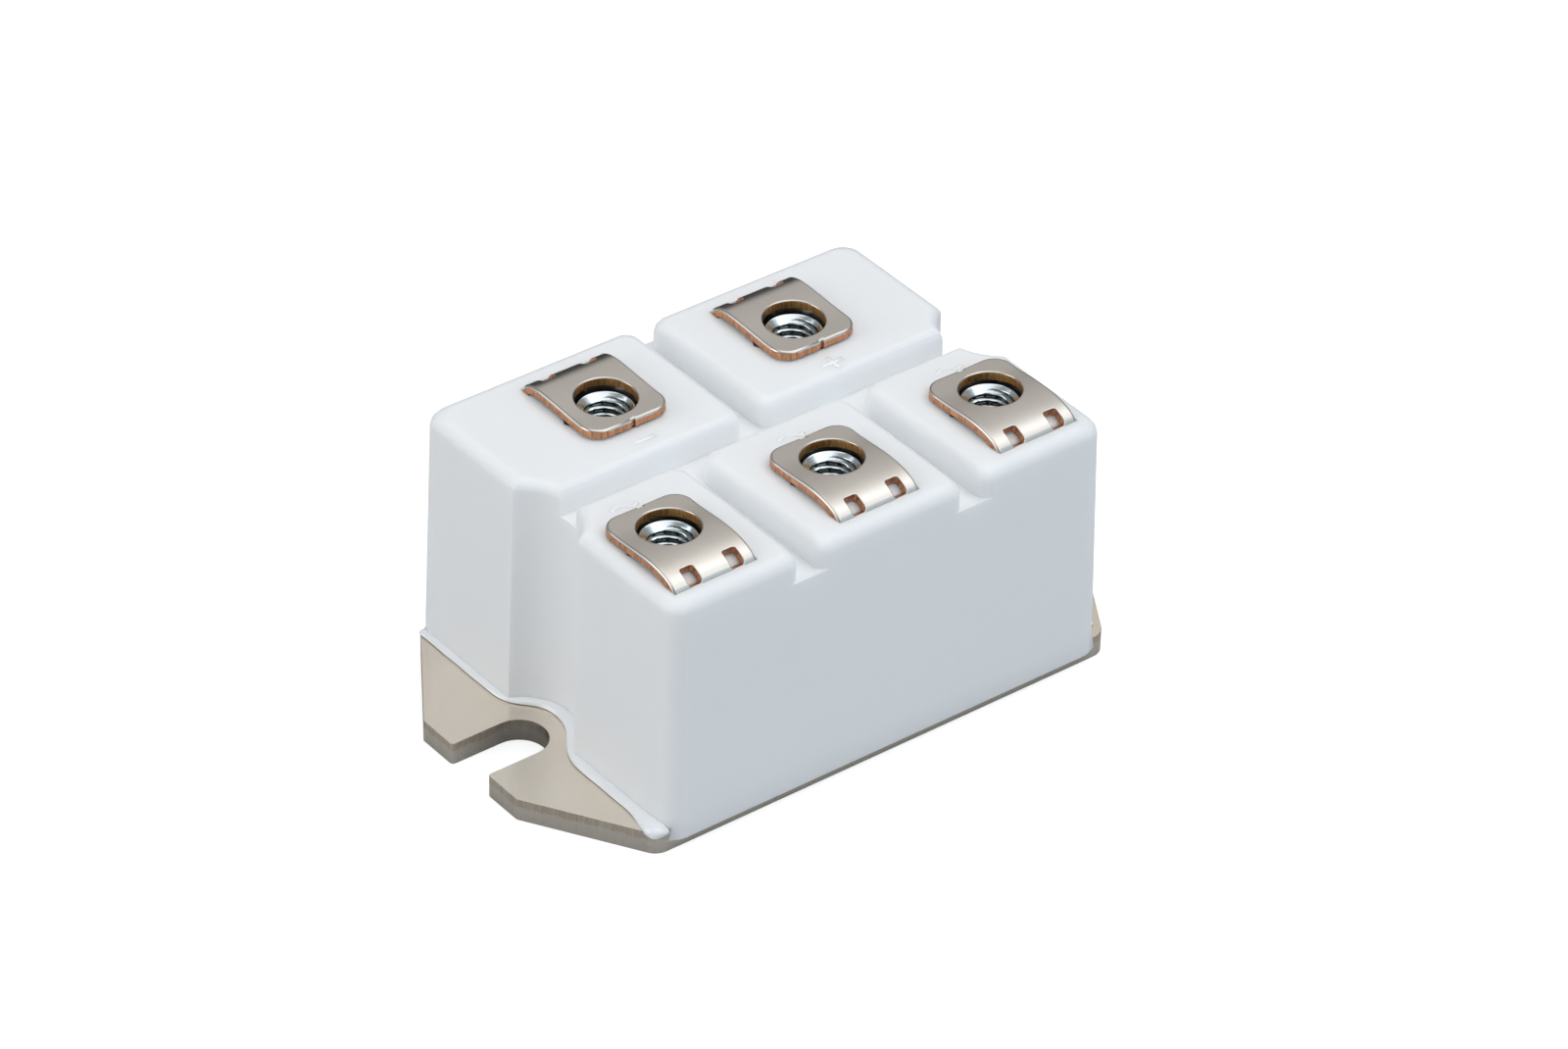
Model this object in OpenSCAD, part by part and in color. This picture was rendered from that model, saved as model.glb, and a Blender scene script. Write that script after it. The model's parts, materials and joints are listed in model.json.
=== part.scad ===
// Three-phase bridge rectifier module with five screw terminals, in millimetres.
// X runs along the front long face, Y to the rear and Z up from the mounting face of the plate.

/* [Baseplate] */
// Depth of the copper plate across its long edges
plate_depth = 41.2; // [40:0.2:46]
// Thickness of the copper plate
plate_thickness = 2.5; // [2:0.1:4]
// How far the plate's front corners stand past the ends of the housing
front_ledge = 0.95; // [0.5:0.05:2]
// How far the plate's rear corners stand past the ends of the housing
rear_ledge = 0.15; // [0.05:0.05:2]
// Width of the flat tip of each ear
ear_tip_width = 15.8; // [12:0.2:20]
// Distance from the slot's centre to the ear tip
ear_reach = 6; // [4.5:0.1:9]
// Width of the open mounting slot
slot_width = 6; // [4.5:0.1:6.6]
// Distance from the end of the housing to the slot's centre
slot_offset = 2.75; // [2.2:0.05:3.4]
// Radius of the plate's corners at the ends of the long edges
plate_corner_radius = 1.9; // [0.5:0.1:3]
// Radius of the corners at the ear tips
tip_corner_radius = 0.5; // [0.2:0.1:1.5]

/* [Housing] */
// Length of the housing at its foot
housing_length = 54.5; // [52:0.5:62]
// Height of the block tops above the mounting face
housing_height = 29.1; // [28:0.1:34]
// Inward lean of each wall between the foot and the top
wall_inset = 0.45; // [0.1:0.05:0.8]
// Thickness of the walls at the foot
wall = 1.6; // [1.4:0.1:2]
// Height of the upright foot below the leaning walls
foot_height = 4; // [3.6:0.1:6]
// Height of the skirt's lower edge above the mounting face
skirt_bottom = 1; // [0.4:0.1:1.6]
// Thickness of the skirt outside the plate's long edges
skirt_lip = 0.5; // [0.4:0.05:1]
// Clearance between the plate's long edges and the skirt
plate_clearance = 0.1; // [0.05:0.05:0.3]
// Radius of the upright corners
corner_radius = 2; // [1.6:0.1:3]
// Radius of the outer top edges
top_edge_radius = 1.4; // [0.8:0.1:1.6]
// Radius of the screw channel at each end
channel_radius = 6.2; // [5.2:0.1:6.6]
// Radius of the channel's top edge
channel_edge_radius = 1.1; // [0.4:0.1:1.4]

/* [Grooves] */
// Depth of the grooves below the block tops
groove_depth = 3.1; // [2:0.1:3.6]
// Width of the groove between the two rows
row_groove_width = 2.5; // [1.6:0.1:3.2]
// Distance of that groove behind the middle
row_groove_y = 0.2; // [-0.6:0.1:0.6]
// Width of the grooves between neighbouring blocks
cross_groove_width = 2.3; // [1.6:0.1:3]
// How far each front cross groove sits outside the midpoint between its two terminals
groove_shift = 0.15; // [-0.4:0.05:0.6]
// Widening of each groove side from floor to top
groove_inset = 0.12; // [0:0.02:0.3]
// Radius of the top edges along the grooves
groove_edge_radius = 1; // [0.4:0.1:1.3]
// Radius of the blocks' upright corners at the grooves
block_corner_radius = 1.4; // [0.8:0.1:2]

/* [Terminals] */
// Width of a terminal tab
tab_width = 9.9; // [9:0.1:10.2]
// Thickness of the terminal strip
tab_thickness = 0.95; // [0.6:0.05:0.95]
// Gap between a tab and the block top below it
tab_gap = 0.25; // [0.2:0.05:0.8]
// Diameter of the screw hole in the tab
tab_hole = 6.4; // [5.6:0.1:6.8]
// Distance from the hole's centre to the free end
tab_end_margin = 4.65; // [4.2:0.05:5.2]
// Radius of the free end's corners
tab_end_radius = 2; // [0.5:0.1:2.6]
// Radius of the small notch in the middle of the free end
notch_radius = 0.25; // [0.1:0.05:0.4]
// Rise of the strip before its bend
arch_rise = 0.25; // [0:0.05:0.4]
// Distance from the free end to the start of the rise
rise_start = 2.2; // [1:0.1:5]
// Distance from the housing's ends to the outer front terminals' holes
front_hole_inset = 7.25; // [7:0.05:8]
// Distance from the front tabs' hole to the outer face of the bend
front_reach = 7.9; // [7.7:0.1:8.4]
// Length of the front tabs' bend along Y
front_bend_run = 4.9; // [3.6:0.1:5.4]
// Height of the front tabs' bend
front_bend_drop = 2; // [1.9:0.05:2.2]
// Distance from the housing's top edge to the front strips
front_setback = 1.95; // [1.8:0.05:2.4]
// How far the front strips sit to the left of their holes
front_shift = 0.2; // [0:0.05:0.3]
// Distance from the housing's ends to the rear terminals' holes
rear_hole_inset = 15.45; // [14.5:0.05:16]
// Distance from the rear tabs' hole to the outer face of the bend
rear_reach = 7.4; // [7.2:0.1:8]
// Length of the rear tabs' bend along Y
rear_bend_run = 2.9; // [2.6:0.1:3.3]
// Height of the rear tabs' bend
rear_bend_drop = 1.6; // [1.55:0.05:1.8]
// Distance from the housing's top edge to the rear strips
rear_setback = 2.9; // [2.4:0.05:3.4]
// Width of each window in the bend
window_width = 1.6; // [1.2:0.05:2.4]
// Length of each window along the strip
window_length = 1.8; // [1.4:0.1:2.4]
// Distance between the two windows' centres
window_pitch = 5.1; // [4:0.1:6]
// Turn of the bend at the windows' middle, in degrees
window_turn = 56; // [40:1:60]
// Corner radius of the windows
window_radius = 0.35; // [0.1:0.05:0.5]
// Clearance between a strip's faces and its slot in the housing
strip_clearance = 0.15; // [0.1:0.05:0.25]
// Clearance between a strip's edges and its slot in the housing
strip_side_clearance = 0.3; // [0.1:0.05:0.4]
// Width of the leg inside the housing
leg_width = 5; // [3:0.1:6]
// Distance from the cavity's ceiling to the leg's shoulder
shoulder_drop = 1.4; // [0.6:0.1:3]
// Length of the flat foot
foot_length = 3.2; // [2:0.1:3.6]
// Radius of the bend above the foot
foot_bend_radius = 1.2; // [0.8:0.1:1.5]

/* [Nuts] */
// Width across the flats of a nut
nut_width = 8.6; // [8:0.1:9.2]
// Height of a nut
nut_height = 4; // [3.2:0.1:4.2]
// Depth of the nut's top below the block top
nut_recess = 0.05; // [0:0.05:0.8]
// Diameter of the nut's bore inside the thread
thread_bore = 4.2; // [3.2:0.05:4.4]
// Diameter of the countersink at both ends of the bore
countersink = 5.75; // [4.8:0.05:6]
// Height of the bevel on the nut's corners
nut_bevel = 0.5; // [0.2:0.05:0.7]
// Clearance between the nut's flats and its pocket
pocket_clearance = 0.1; // [0.1:0.05:0.3]
// Diameter of the well for the screw's end below a nut
well_diameter = 6.2; // [5.6:0.1:6.6]
// Depth of that well below the nut
well_depth = 5.6; // [3:0.1:6]

/* [Sealing bead] */
// Width of the bead on the plate and its height on the wall
bead_radius = 0.65; // [0.6:0.05:1.1]
// Radius of the drop at the front end of the left bead
drop_radius = 1.1; // [1:0.05:1.6]
// Distance from the housing's end to the drop's middle
drop_out = 0.7; // [0.4:0.05:1]
// Distance from the plate's long edge to the drop's middle
drop_in = 1; // [1:0.1:2]

/* [Inside] */
// Thickness of the cover above the cavity
cover_thickness = 5.7; // [5.7:0.1:6.5]
// Radius of the cavity's upright corners
cavity_corner_radius = 1; // [0.5:0.1:2]
// Gap between the cavity's walls and the ceramic
ceramic_gap = 0.5; // [0.2:0.1:1]
// Thickness of the ceramic
ceramic_thickness = 0.63; // [0.38:0.01:1]
// Thickness of the copper on both faces of the ceramic
copper_thickness = 0.3; // [0.2:0.05:0.4]
// Bare margin of the ceramic around its copper
copper_margin = 0.5; // [0.3:0.1:1]
// Gap between neighbouring tracks
track_gap = 1.2; // [0.8:0.1:1.6]
// Distance of the plus track's front edge behind the middle
bar_front = 0.2; // [0:0.1:0.4]
// Depth of the plus track's bar along Y
plus_bar_depth = 7; // [6.8:0.1:7.6]
// Side of a square diode chip
chip_size = 6.4; // [5:0.1:6.6]
// Thickness of a diode chip
chip_thickness = 0.35; // [0.2:0.05:0.5]
// Distance of the lower diodes in front of the middle
low_diode_y = 8.6; // [8.2:0.1:9]
// Thickness of the straps and of the minus comb
strap_thickness = 0.4; // [0.3:0.05:0.6]
// Width of the straps and of the comb's fingers
strap_width = 4; // [2.5:0.1:4.6]
// Length of a strap's contact on a chip
contact_length = 3.2; // [2:0.1:4]
// Length of a strap's foot on a track
strap_foot = 2.1; // [1.2:0.1:2.4]
// Height of a strap's arch above the chips
strap_rise = 1.1; // [0.8:0.1:1.4]
// Height of the minus comb above the chips
comb_rise = 2.8; // [2.4:0.1:3.4]
// Width of the comb's bridge
bridge_width = 3.4; // [2:0.1:3.6]
// Margin between the outer feet and the edges of their tracks
foot_margin = 0.4; // [0.2:0.1:0.8]
// Height of the soft potting above the mounting face
gel_level = 9.5; // [8.6:0.1:11]
// Gap between the hard potting and the screw wells above it
potting_gap = 2.85; // [1:0.05:4]

/* [Hidden] */
$fn = 64;

// Cuts run this far past the faces they open
past = 1;
// Depth of a block's root inside the body below it
root = 0.5;
// Steps of the rounded edges in a quarter turn
quarter_steps = 8;
// Steps of the edges that run along a block's top
edge_steps = 4;
// Steps of a sealing bead's rounded side
bead_steps = 4;

// The housing's plan
housing_depth = plate_depth + 2 * (plate_clearance + skirt_lip);
half_length = housing_length / 2;
half_depth = housing_depth / 2;
top_half_depth = half_depth - wall_inset;
groove_floor = housing_height - groove_depth;
slot_x = half_length + slot_offset;
plate_half_length = slot_x + ear_reach;
front_corner_x = half_length + front_ledge;
rear_corner_x = half_length + rear_ledge;
front_pitch = half_length - front_hole_inset;
rear_hole_x = half_length - rear_hole_inset;
front_groove_x = front_pitch / 2 + groove_shift;

// The cavity inside the housing
ceiling_height = housing_height - cover_thickness;
cavity_x = half_length - wall;
cavity_y = half_depth - wall;
channel_wall_radius = channel_radius + wall;

// Heights of the tabs and nuts
tab_bottom = housing_height + tab_gap;
tab_middle = tab_bottom + tab_thickness / 2;
nut_top = housing_height - nut_recess;
nut_bottom = nut_top - nut_height;
pocket_width = nut_width + 2 * pocket_clearance;
boss_bottom = nut_bottom - well_depth - wall;
hard_level = boss_bottom - potting_gap;
shoulder_z = ceiling_height - shoulder_drop;

// Heights of the stack on the plate
ceramic_bottom = plate_thickness + copper_thickness;
ceramic_top = ceramic_bottom + ceramic_thickness;
track_top = ceramic_top + copper_thickness;
chip_top = track_top + chip_thickness;
comb_z = chip_top + comb_rise;

// Plan of the ceramic and its tracks
ceramic_x = slot_x - channel_wall_radius - ceramic_gap;
ceramic_y = cavity_y - ceramic_gap;
track_x = ceramic_x - copper_margin;
track_y = ceramic_y - copper_margin;
column_width = (2 * track_x - 2 * track_gap) / 3;
column_pitch = column_width + track_gap;
bar_rear = bar_front + plus_bar_depth;
high_diode_y = (bar_front + bar_rear) / 2;
ac_track_rear = bar_front - track_gap;
pad_front = bar_rear + track_gap;
bridge_x = column_pitch / 2;

// Terminals in the order minus, plus, AC 1, AC 2, AC 3
MINUS = 0;
PLUS = 1;
FIRST_AC = 2;
TERMINALS = [0:4];
PHASES = [1:3];
front_hole_y = top_half_depth - front_setback - front_reach;
rear_hole_y = top_half_depth - rear_setback - rear_reach;
holes = [
    [-rear_hole_x, rear_hole_y],
    [rear_hole_x, rear_hole_y],
    [-front_pitch, -front_hole_y],
    [0, -front_hole_y],
    [front_pitch, -front_hole_y],
];
outer_leg_x = track_x - foot_margin - leg_width / 2;
leg_x = [-rear_hole_x, rear_hole_x, -outer_leg_x, 0, outer_leg_x];

// Colours
NICKEL = [0.74, 0.70, 0.65];
WHITE = [0.92, 0.93, 0.94];
SILICONE = [0.96, 0.97, 0.98];
ZINC = [0.70, 0.74, 0.77];
COPPER = [0.80, 0.50, 0.36];
CERAMIC = [0.95, 0.94, 0.90];
SILICON = [0.35, 0.36, 0.40];
GEL = [0.85, 0.90, 0.92, 0.5];
RESIN = [0.20, 0.21, 0.22];

// Points on an arc about a centre, from one angle to another
function arc(centre, radius, from, to, steps) =
    [for (i = [0:steps])
        let (a = from + (to - from) * i / steps)
        centre + radius * [cos(a), sin(a)]];

// Points that round the corner b of the path a, b, c
function round_corner(a, b, c, radius) =
    let (
        u = (a - b) / norm(a - b),
        v = (c - b) / norm(c - b),
        half = acos(u * v) / 2,
        centre = b + (u + v) / norm(u + v) * radius / sin(half),
        start = b + u * radius / tan(half) - centre,
        end = b + v * radius / tan(half) - centre,
        from = atan2(start.y, start.x),
        turn = atan2(cross(start, end), start * end)
    )
    arc(centre, radius, from, from + turn, quarter_steps);

// A closed outline with each corner rounded by its own radius
function round_outline(points, radii) =
    [for (i = [0:len(points) - 1])
        each round_corner(
            points[(i + len(points) - 1) % len(points)],
            points[i],
            points[(i + 1) % len(points)],
            radii[i]
        )];

// A rectangle between two corners, its corners rounded from the front left one on, anticlockwise
function round_box(low, high, radii) =
    round_outline([low, [high.x, low.y], high, [low.x, high.y]], radii);

// Inward lean of the housing's walls at a height
function lean_at(z) = wall_inset * max(0, z - foot_height) / (housing_height - foot_height);

// Outline of the housing at a height, without its channels
function housing_outline(z) =
    let (corner = [half_length - lean_at(z), half_depth - lean_at(z)])
    round_box(-corner, corner, [for (i = [1:4]) corner_radius]);

// Both mirrored halves along X
module both_ends() {
    for (side = [0, 1]) {
        mirror([side, 0, 0]) children();
    }
}

// Outline of the plate with its tapered ears, without their slots
function plate_outline() =
    round_outline(
        [
            [-front_corner_x, -plate_depth / 2],
            [front_corner_x, -plate_depth / 2],
            [plate_half_length, -ear_tip_width / 2],
            [plate_half_length, ear_tip_width / 2],
            [rear_corner_x, plate_depth / 2],
            [-rear_corner_x, plate_depth / 2],
            [-plate_half_length, ear_tip_width / 2],
            [-plate_half_length, -ear_tip_width / 2],
        ],
        [for (pair = [1:2]) each [
            plate_corner_radius, plate_corner_radius, tip_corner_radius, tip_corner_radius
        ]]
    );

// Copper plate with an open slot in each ear
module baseplate() {
    color(NICKEL)
    difference() {
        linear_extrude(plate_thickness) polygon(plate_outline());
        both_ends() translate([slot_x, 0, -past]) mounting_slot(plate_thickness + 2 * past);
    }
}

// Round-ended slot that opens outwards
module mounting_slot(height) {
    cylinder(d = slot_width, h = height);
    translate([0, -slot_width / 2, 0]) cube([ear_reach + past, slot_width, height]);
}

// Closed solid through outlines of equal point counts, each at its own height
module loft(outlines, heights) {
    count = len(outlines[0]);
    last = len(outlines) - 1;
    points = [for (k = [0:last]) for (point = outlines[k]) [point.x, point.y, heights[k]]];
    sides = [for (k = [0:last - 1]) for (j = [0:count - 1])
        let (next = (j + 1) % count, upper = (k + 1) * count)
        [k * count + j, upper + j, upper + next, k * count + next]];
    bottom = [for (j = [0:count - 1]) j];
    top = [for (j = [count - 1:-1:0]) last * count + j];
    polyhedron(points, concat([bottom], sides, [top]));
}

// Upright foot and leaning walls of the housing up to the groove floor
module housing_body() {
    heights = [skirt_bottom, foot_height, groove_floor];
    loft([for (z = heights) housing_outline(z)], heights);
}

// Terminal block between two corners at the groove floor. The four flags, in the order left, right,
// front and rear, are 1 on the housing's outer walls and 0 along a groove.
module block(low, high, outer) {
    radii = [
        block_radius(outer[0], outer[2]),
        block_radius(outer[1], outer[2]),
        block_radius(outer[1], outer[3]),
        block_radius(outer[0], outer[3]),
    ];
    turns = concat([0], [for (step = [0:edge_steps]) 90 * step / edge_steps]);
    edges = [for (step = [0:edge_steps]) housing_height - top_edge_radius * (1 - sin(turns[step + 1]))];
    heights = concat([groove_floor - root], edges);
    loft(
        [for (k = [0:len(turns) - 1]) block_outline(low, high, outer, heights[k], turns[k], radii)],
        heights
    );
}

// Corner radius of a block where two of its sides meet
function block_radius(first, second) = first + second == 2 ? corner_radius : block_corner_radius;

// Outline of a block at a height where its top edges have turned inwards by an angle
function block_outline(low, high, outer, z, turn, radii) =
    let (
        rolled = 1 - cos(turn),
        wall_in = lean_at(z) + top_edge_radius * rolled,
        groove_in = groove_inset * (z - groove_floor) / groove_depth + groove_edge_radius * rolled,
        inset = [for (flag = outer) flag == 1 ? wall_in : groove_in]
    )
    round_box(low + [inset[0], inset[2]], high - [inset[1], inset[3]], radii);

// The two rear and three front terminal blocks
module blocks() {
    rear_front_y = row_groove_y + row_groove_width / 2;
    front_rear_y = row_groove_y - row_groove_width / 2;
    half_cross = cross_groove_width / 2;
    both_ends() {
        block([half_cross, rear_front_y], [half_length, half_depth], [0, 1, 0, 1]);
        block([front_groove_x + half_cross, -half_depth], [half_length, front_rear_y], [0, 1, 1, 0]);
    }
    block(
        [half_cross - front_groove_x, -half_depth],
        [front_groove_x - half_cross, front_rear_y],
        [0, 0, 1, 0]
    );
}

// Half-round cut for the mounting screw, flared at the top to round the channel's edge
module screw_channel() {
    edge_z = housing_height - channel_edge_radius;
    translate([slot_x, 0, skirt_bottom - past]) {
        cylinder(r = channel_radius, h = housing_height - skirt_bottom + 2 * past);
    }
    translate([slot_x, 0, 0])
    rotate_extrude() {
        polygon(concat(
            [[0, housing_height + past], [0, edge_z]],
            arc([channel_radius + channel_edge_radius, edge_z], channel_edge_radius, 180, 90, quarter_steps),
            [[channel_radius + channel_edge_radius, housing_height + past]]
        ));
    }
}

// Space inside the housing between two heights, clear of the channels' walls
module cavity(bottom, top) {
    corner = [cavity_x, cavity_y];
    difference() {
        translate([0, 0, bottom]) linear_extrude(top - bottom) {
            polygon(round_box(-corner, corner, [for (i = [1:4]) cavity_corner_radius]));
        }
        both_ends() translate([slot_x, 0, bottom - past]) {
            cylinder(r = channel_wall_radius, h = top - bottom + 2 * past);
        }
    }
}

// Places its children at a terminal's hole, with the strip's bend towards +Y
module at_terminal(i) {
    translate(holes[i]) rotate(i < FIRST_AC ? 0 : 180) children();
}

// Hexagonal pocket for a nut, with the well for the screw's end below it
module nut_pocket() {
    translate([0, 0, nut_bottom]) {
        cylinder(d = pocket_width / cos(30), h = nut_height + nut_recess + past, $fn = 6);
    }
    translate([0, 0, nut_bottom - well_depth]) cylinder(d = well_diameter, h = well_depth + past);
}

// Closed boss around a screw well, below the cavity's ceiling
module well_boss() {
    translate([0, 0, boss_bottom]) {
        cylinder(d = well_diameter + 2 * wall, h = ceiling_height + root - boss_bottom);
    }
}

// White moulded cover
module housing() {
    recess_depth = plate_depth + 2 * plate_clearance;
    recess_length = housing_length + 2 * past;
    color(WHITE)
    difference() {
        union() {
            difference() {
                union() {
                    housing_body();
                    blocks();
                }
                cavity(plate_thickness - past, ceiling_height);
            }
            for (i = TERMINALS) {
                at_terminal(i) well_boss();
            }
        }
        translate([-recess_length / 2, -recess_depth / 2, skirt_bottom - past]) {
            cube([recess_length, recess_depth, plate_thickness - skirt_bottom + past]);
        }
        both_ends() screw_channel();
        for (i = TERMINALS) {
            at_terminal(i) {
                nut_pocket();
                strip_slot(i);
            }
        }
    }
}

// Sideways distance of a strip's middle from its hole
function strip_shift(i) = i < FIRST_AC ? 0 : front_shift;

// Middle line of a strip's leg, and the run and drop of the bend above it
function leg_y(i) = (i < FIRST_AC ? rear_reach : front_reach) - tab_thickness / 2;
function bend_run(i) = (i < FIRST_AC ? rear_bend_run : front_bend_run) - tab_thickness / 2;
function bend_drop(i) = (i < FIRST_AC ? rear_bend_drop : front_bend_drop) - tab_thickness / 2;

// A point of a strip's middle line is its distance outwards from the hole, its height and its direction.
// These are the points of the rise, from 0 to 1 along it.
function rise_point(i, part) =
    let (
        start = rise_start - tab_end_margin,
        run = leg_y(i) - bend_run(i) - start
    )
    [
        start + run * part,
        tab_middle + arch_rise * (1 - cos(180 * part)) / 2,
        atan(arch_rise * PI / 2 / run * sin(180 * part)),
    ];

// Points of the bend, from its crest at 0 to the upright leg at 90 degrees
function bend_point(i, turn) =
    [
        leg_y(i) - bend_run(i) * (1 - sin(turn)),
        tab_middle + arch_rise - bend_drop(i) * (1 - cos(turn)),
        atan2(-bend_drop(i) * sin(turn), bend_run(i) * cos(turn)),
    ];

// Points of the bend above the foot, from the upright leg at 0 to the flat foot at 90 degrees
function foot_point(i, turn) =
    [
        leg_y(i) - foot_bend_radius * (1 - cos(turn)),
        track_top + tab_thickness / 2 + foot_bend_radius * (1 - sin(turn)),
        -90 - turn,
    ];

// Middle line of a strip from its free end to the end of its foot
function strip_path(i) =
    concat(
        [[-tab_end_margin, tab_middle, 0]],
        [for (step = [0:quarter_steps - 1]) rise_point(i, step / quarter_steps)],
        [for (step = [0:quarter_steps]) bend_point(i, 90 * step / quarter_steps)],
        [for (step = [0:quarter_steps]) foot_point(i, 90 * step / quarter_steps)],
        [foot_point(i, 90) - [foot_length, 0, 0]]
    );

// One side of a strip: its middle line moved square to itself
function strip_side(path, distance) =
    [for (point = path) [point[0], point[1]] + distance * [-sin(point[2]), cos(point[2])]];

// Side view of a strip
module strip_profile(i) {
    path = strip_path(i);
    back = strip_side(path, -tab_thickness / 2);
    polygon(concat(strip_side(path, tab_thickness / 2), [for (k = [len(back) - 1:-1:0]) back[k]]));
}

// Side view stretched to a width across a strip
module across_strip(i, width) {
    translate([strip_shift(i), 0, 0]) rotate([90, 0, 90]) linear_extrude(width, center = true) children();
}

// Cut in the housing that lets a strip through
module strip_slot(i) {
    across_strip(i, tab_width + 2 * strip_side_clearance) offset(delta = strip_clearance) strip_profile(i);
}

// Bent strip whose leg is narrower below the shoulder
module shouldered_strip(i) {
    leg_shift = (leg_x[i] - holes[i].x) * (i < FIRST_AC ? 1 : -1);
    side_cut = tab_width + abs(leg_shift);
    cut_depth = 2 * (front_reach + rear_reach);
    difference() {
        across_strip(i, tab_width) strip_profile(i);
        for (side = [-1, 1]) {
            translate([leg_shift + side * (leg_width + side_cut) / 2, 0, shoulder_z / 2]) {
                cube([side_cut, cut_depth, shoulder_z], center = true);
            }
        }
    }
}

// Two windows on the bend, cut square to its slope
module windows(i) {
    middle = bend_point(i, window_turn);
    corner = [window_width, window_length] / 2;
    for (side = [-1, 1]) {
        x = side * window_pitch / 2;
        translate([x, middle[0], middle[1]]) rotate([middle[2], 0, 0]) {
            translate([0, 0, -tab_thickness]) linear_extrude(2 * tab_thickness) {
                polygon(round_box(-corner, corner, [for (k = [1:4]) window_radius]));
            }
        }
    }
}

// Cut that rounds one corner of a tab's free end
module end_corner() {
    side = tab_end_radius + past;
    difference() {
        translate([0, 0, -past]) cube([side, side, tab_thickness + 2 * past]);
        translate([0, 0, -2 * past]) cylinder(r = tab_end_radius, h = tab_thickness + 4 * past);
    }
}

// Nickel-plated copper terminal
module terminal(i) {
    color(NICKEL)
    at_terminal(i)
    difference() {
        shouldered_strip(i);
        translate([0, 0, tab_bottom - past]) cylinder(d = tab_hole, h = tab_thickness + 2 * past);
        translate([strip_shift(i), -tab_end_margin, tab_bottom]) {
            translate([0, 0, -past]) cylinder(r = notch_radius, h = tab_thickness + 2 * past);
            both_ends() translate([tab_width / 2 - tab_end_radius, tab_end_radius, 0]) {
                mirror([0, 1, 0]) end_corner();
            }
        }
        windows(i);
    }
}

// Hexagonal nut with bevelled corners and a countersunk bore
module nut() {
    corner_d = nut_width / cos(30);
    depth = (countersink - thread_bore) / 2;
    translate([0, 0, nut_bottom])
    difference() {
        intersection() {
            cylinder(d = corner_d, h = nut_height, $fn = 6);
            rotate_extrude() {
                polygon([
                    [0, 0],
                    [nut_width / 2, 0],
                    [corner_d / 2, nut_bevel],
                    [corner_d / 2, nut_height - nut_bevel],
                    [nut_width / 2, nut_height],
                    [0, nut_height],
                ]);
            }
        }
        translate([0, 0, -past]) cylinder(d = thread_bore, h = nut_height + 2 * past);
        for (end = [0, 1]) {
            translate([0, 0, end * nut_height]) mirror([0, 0, end]) {
                translate([0, 0, -past]) {
                    cylinder(d1 = countersink + 2 * past, d2 = thread_bore, h = depth + past);
                }
            }
        }
    }
}

// The five captive nuts
module terminal_nuts() {
    color(ZINC)
    for (i = TERMINALS) {
        at_terminal(i) nut();
    }
}

// Foot of the housing with its channels, as the beads meet it
module housing_foot() {
    difference() {
        linear_extrude(foot_height + bead_radius) polygon(housing_outline(0));
        both_ends() translate([slot_x, 0, -past]) {
            cylinder(r = channel_radius, h = foot_height + bead_radius + 2 * past);
        }
    }
}

// Plan of the housing's foot
module foot_plan() {
    difference() {
        polygon(housing_outline(0));
        both_ends() translate([slot_x, 0]) circle(r = channel_radius);
    }
}

// Rounded bead of silicone on the plate along the right end of the housing
module bead() {
    step_height = bead_radius / bead_steps;
    difference() {
        for (step = [0:bead_steps - 1]) {
            width = bead_radius * cos(90 * step / bead_steps);
            translate([0, 0, plate_thickness + step * step_height]) linear_extrude(step_height) {
                intersection() {
                    offset(r = width) foot_plan();
                    polygon(plate_outline());
                    translate([ceramic_x, -plate_depth / 2]) square([half_length, plate_depth]);
                }
            }
        }
        housing_foot();
    }
}

// The left bead ends at the front in a drop that hangs over the plate's corner
module sealing_bead_left() {
    color(SILICONE) {
        mirror([1, 0, 0]) bead();
        difference() {
            translate([-half_length - drop_out, drop_in - plate_depth / 2, plate_thickness]) {
                sphere(r = drop_radius);
            }
            housing_foot();
            baseplate();
        }
    }
}

module sealing_bead_right() {
    color(SILICONE) bead();
}

// Ceramic plate between its copper faces
module substrate_ceramic() {
    color(CERAMIC) translate([-ceramic_x, -ceramic_y, ceramic_bottom]) {
        cube([2 * ceramic_x, 2 * ceramic_y, ceramic_thickness]);
    }
}

module substrate_copper() {
    color(COPPER) translate([-track_x, -track_y, plate_thickness]) {
        cube([2 * track_x, 2 * track_y, copper_thickness]);
    }
}

// Copper field on the ceramic between two corners
module track(low, high) {
    translate([low.x, low.y, ceramic_top]) cube([high.x - low.x, high.y - low.y, copper_thickness]);
}

module track_plus() {
    color(COPPER) {
        track([-track_x, bar_front], [track_x, bar_rear]);
        track([track_gap / 2, bar_rear - track_gap], [track_x, track_y]);
    }
}

module track_minus() {
    color(COPPER) track([-track_x, pad_front], [-track_gap / 2, track_y]);
}

// Middle of a phase's column
function column_x(i) = (i - 2) * column_pitch;

module track_ac(i) {
    color(COPPER) track(
        [column_x(i) - column_width / 2, -track_y],
        [column_x(i) + column_width / 2, ac_track_rear]
    );
}

// Square diode chip soldered to its track
module diode(i, y) {
    color(SILICON) translate([column_x(i) - chip_size / 2, y - chip_size / 2, track_top]) {
        cube([chip_size, chip_size, chip_thickness]);
    }
}

// Strap of a given width whose lower line runs through points in Y and Z
module strap(line, x, width) {
    upper = [for (k = [len(line) - 1:-1:0]) line[k] + [0, strap_thickness]];
    translate([x, 0, 0]) rotate([90, 0, 90]) {
        linear_extrude(width, center = true) polygon(concat(line, upper));
    }
}

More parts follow.
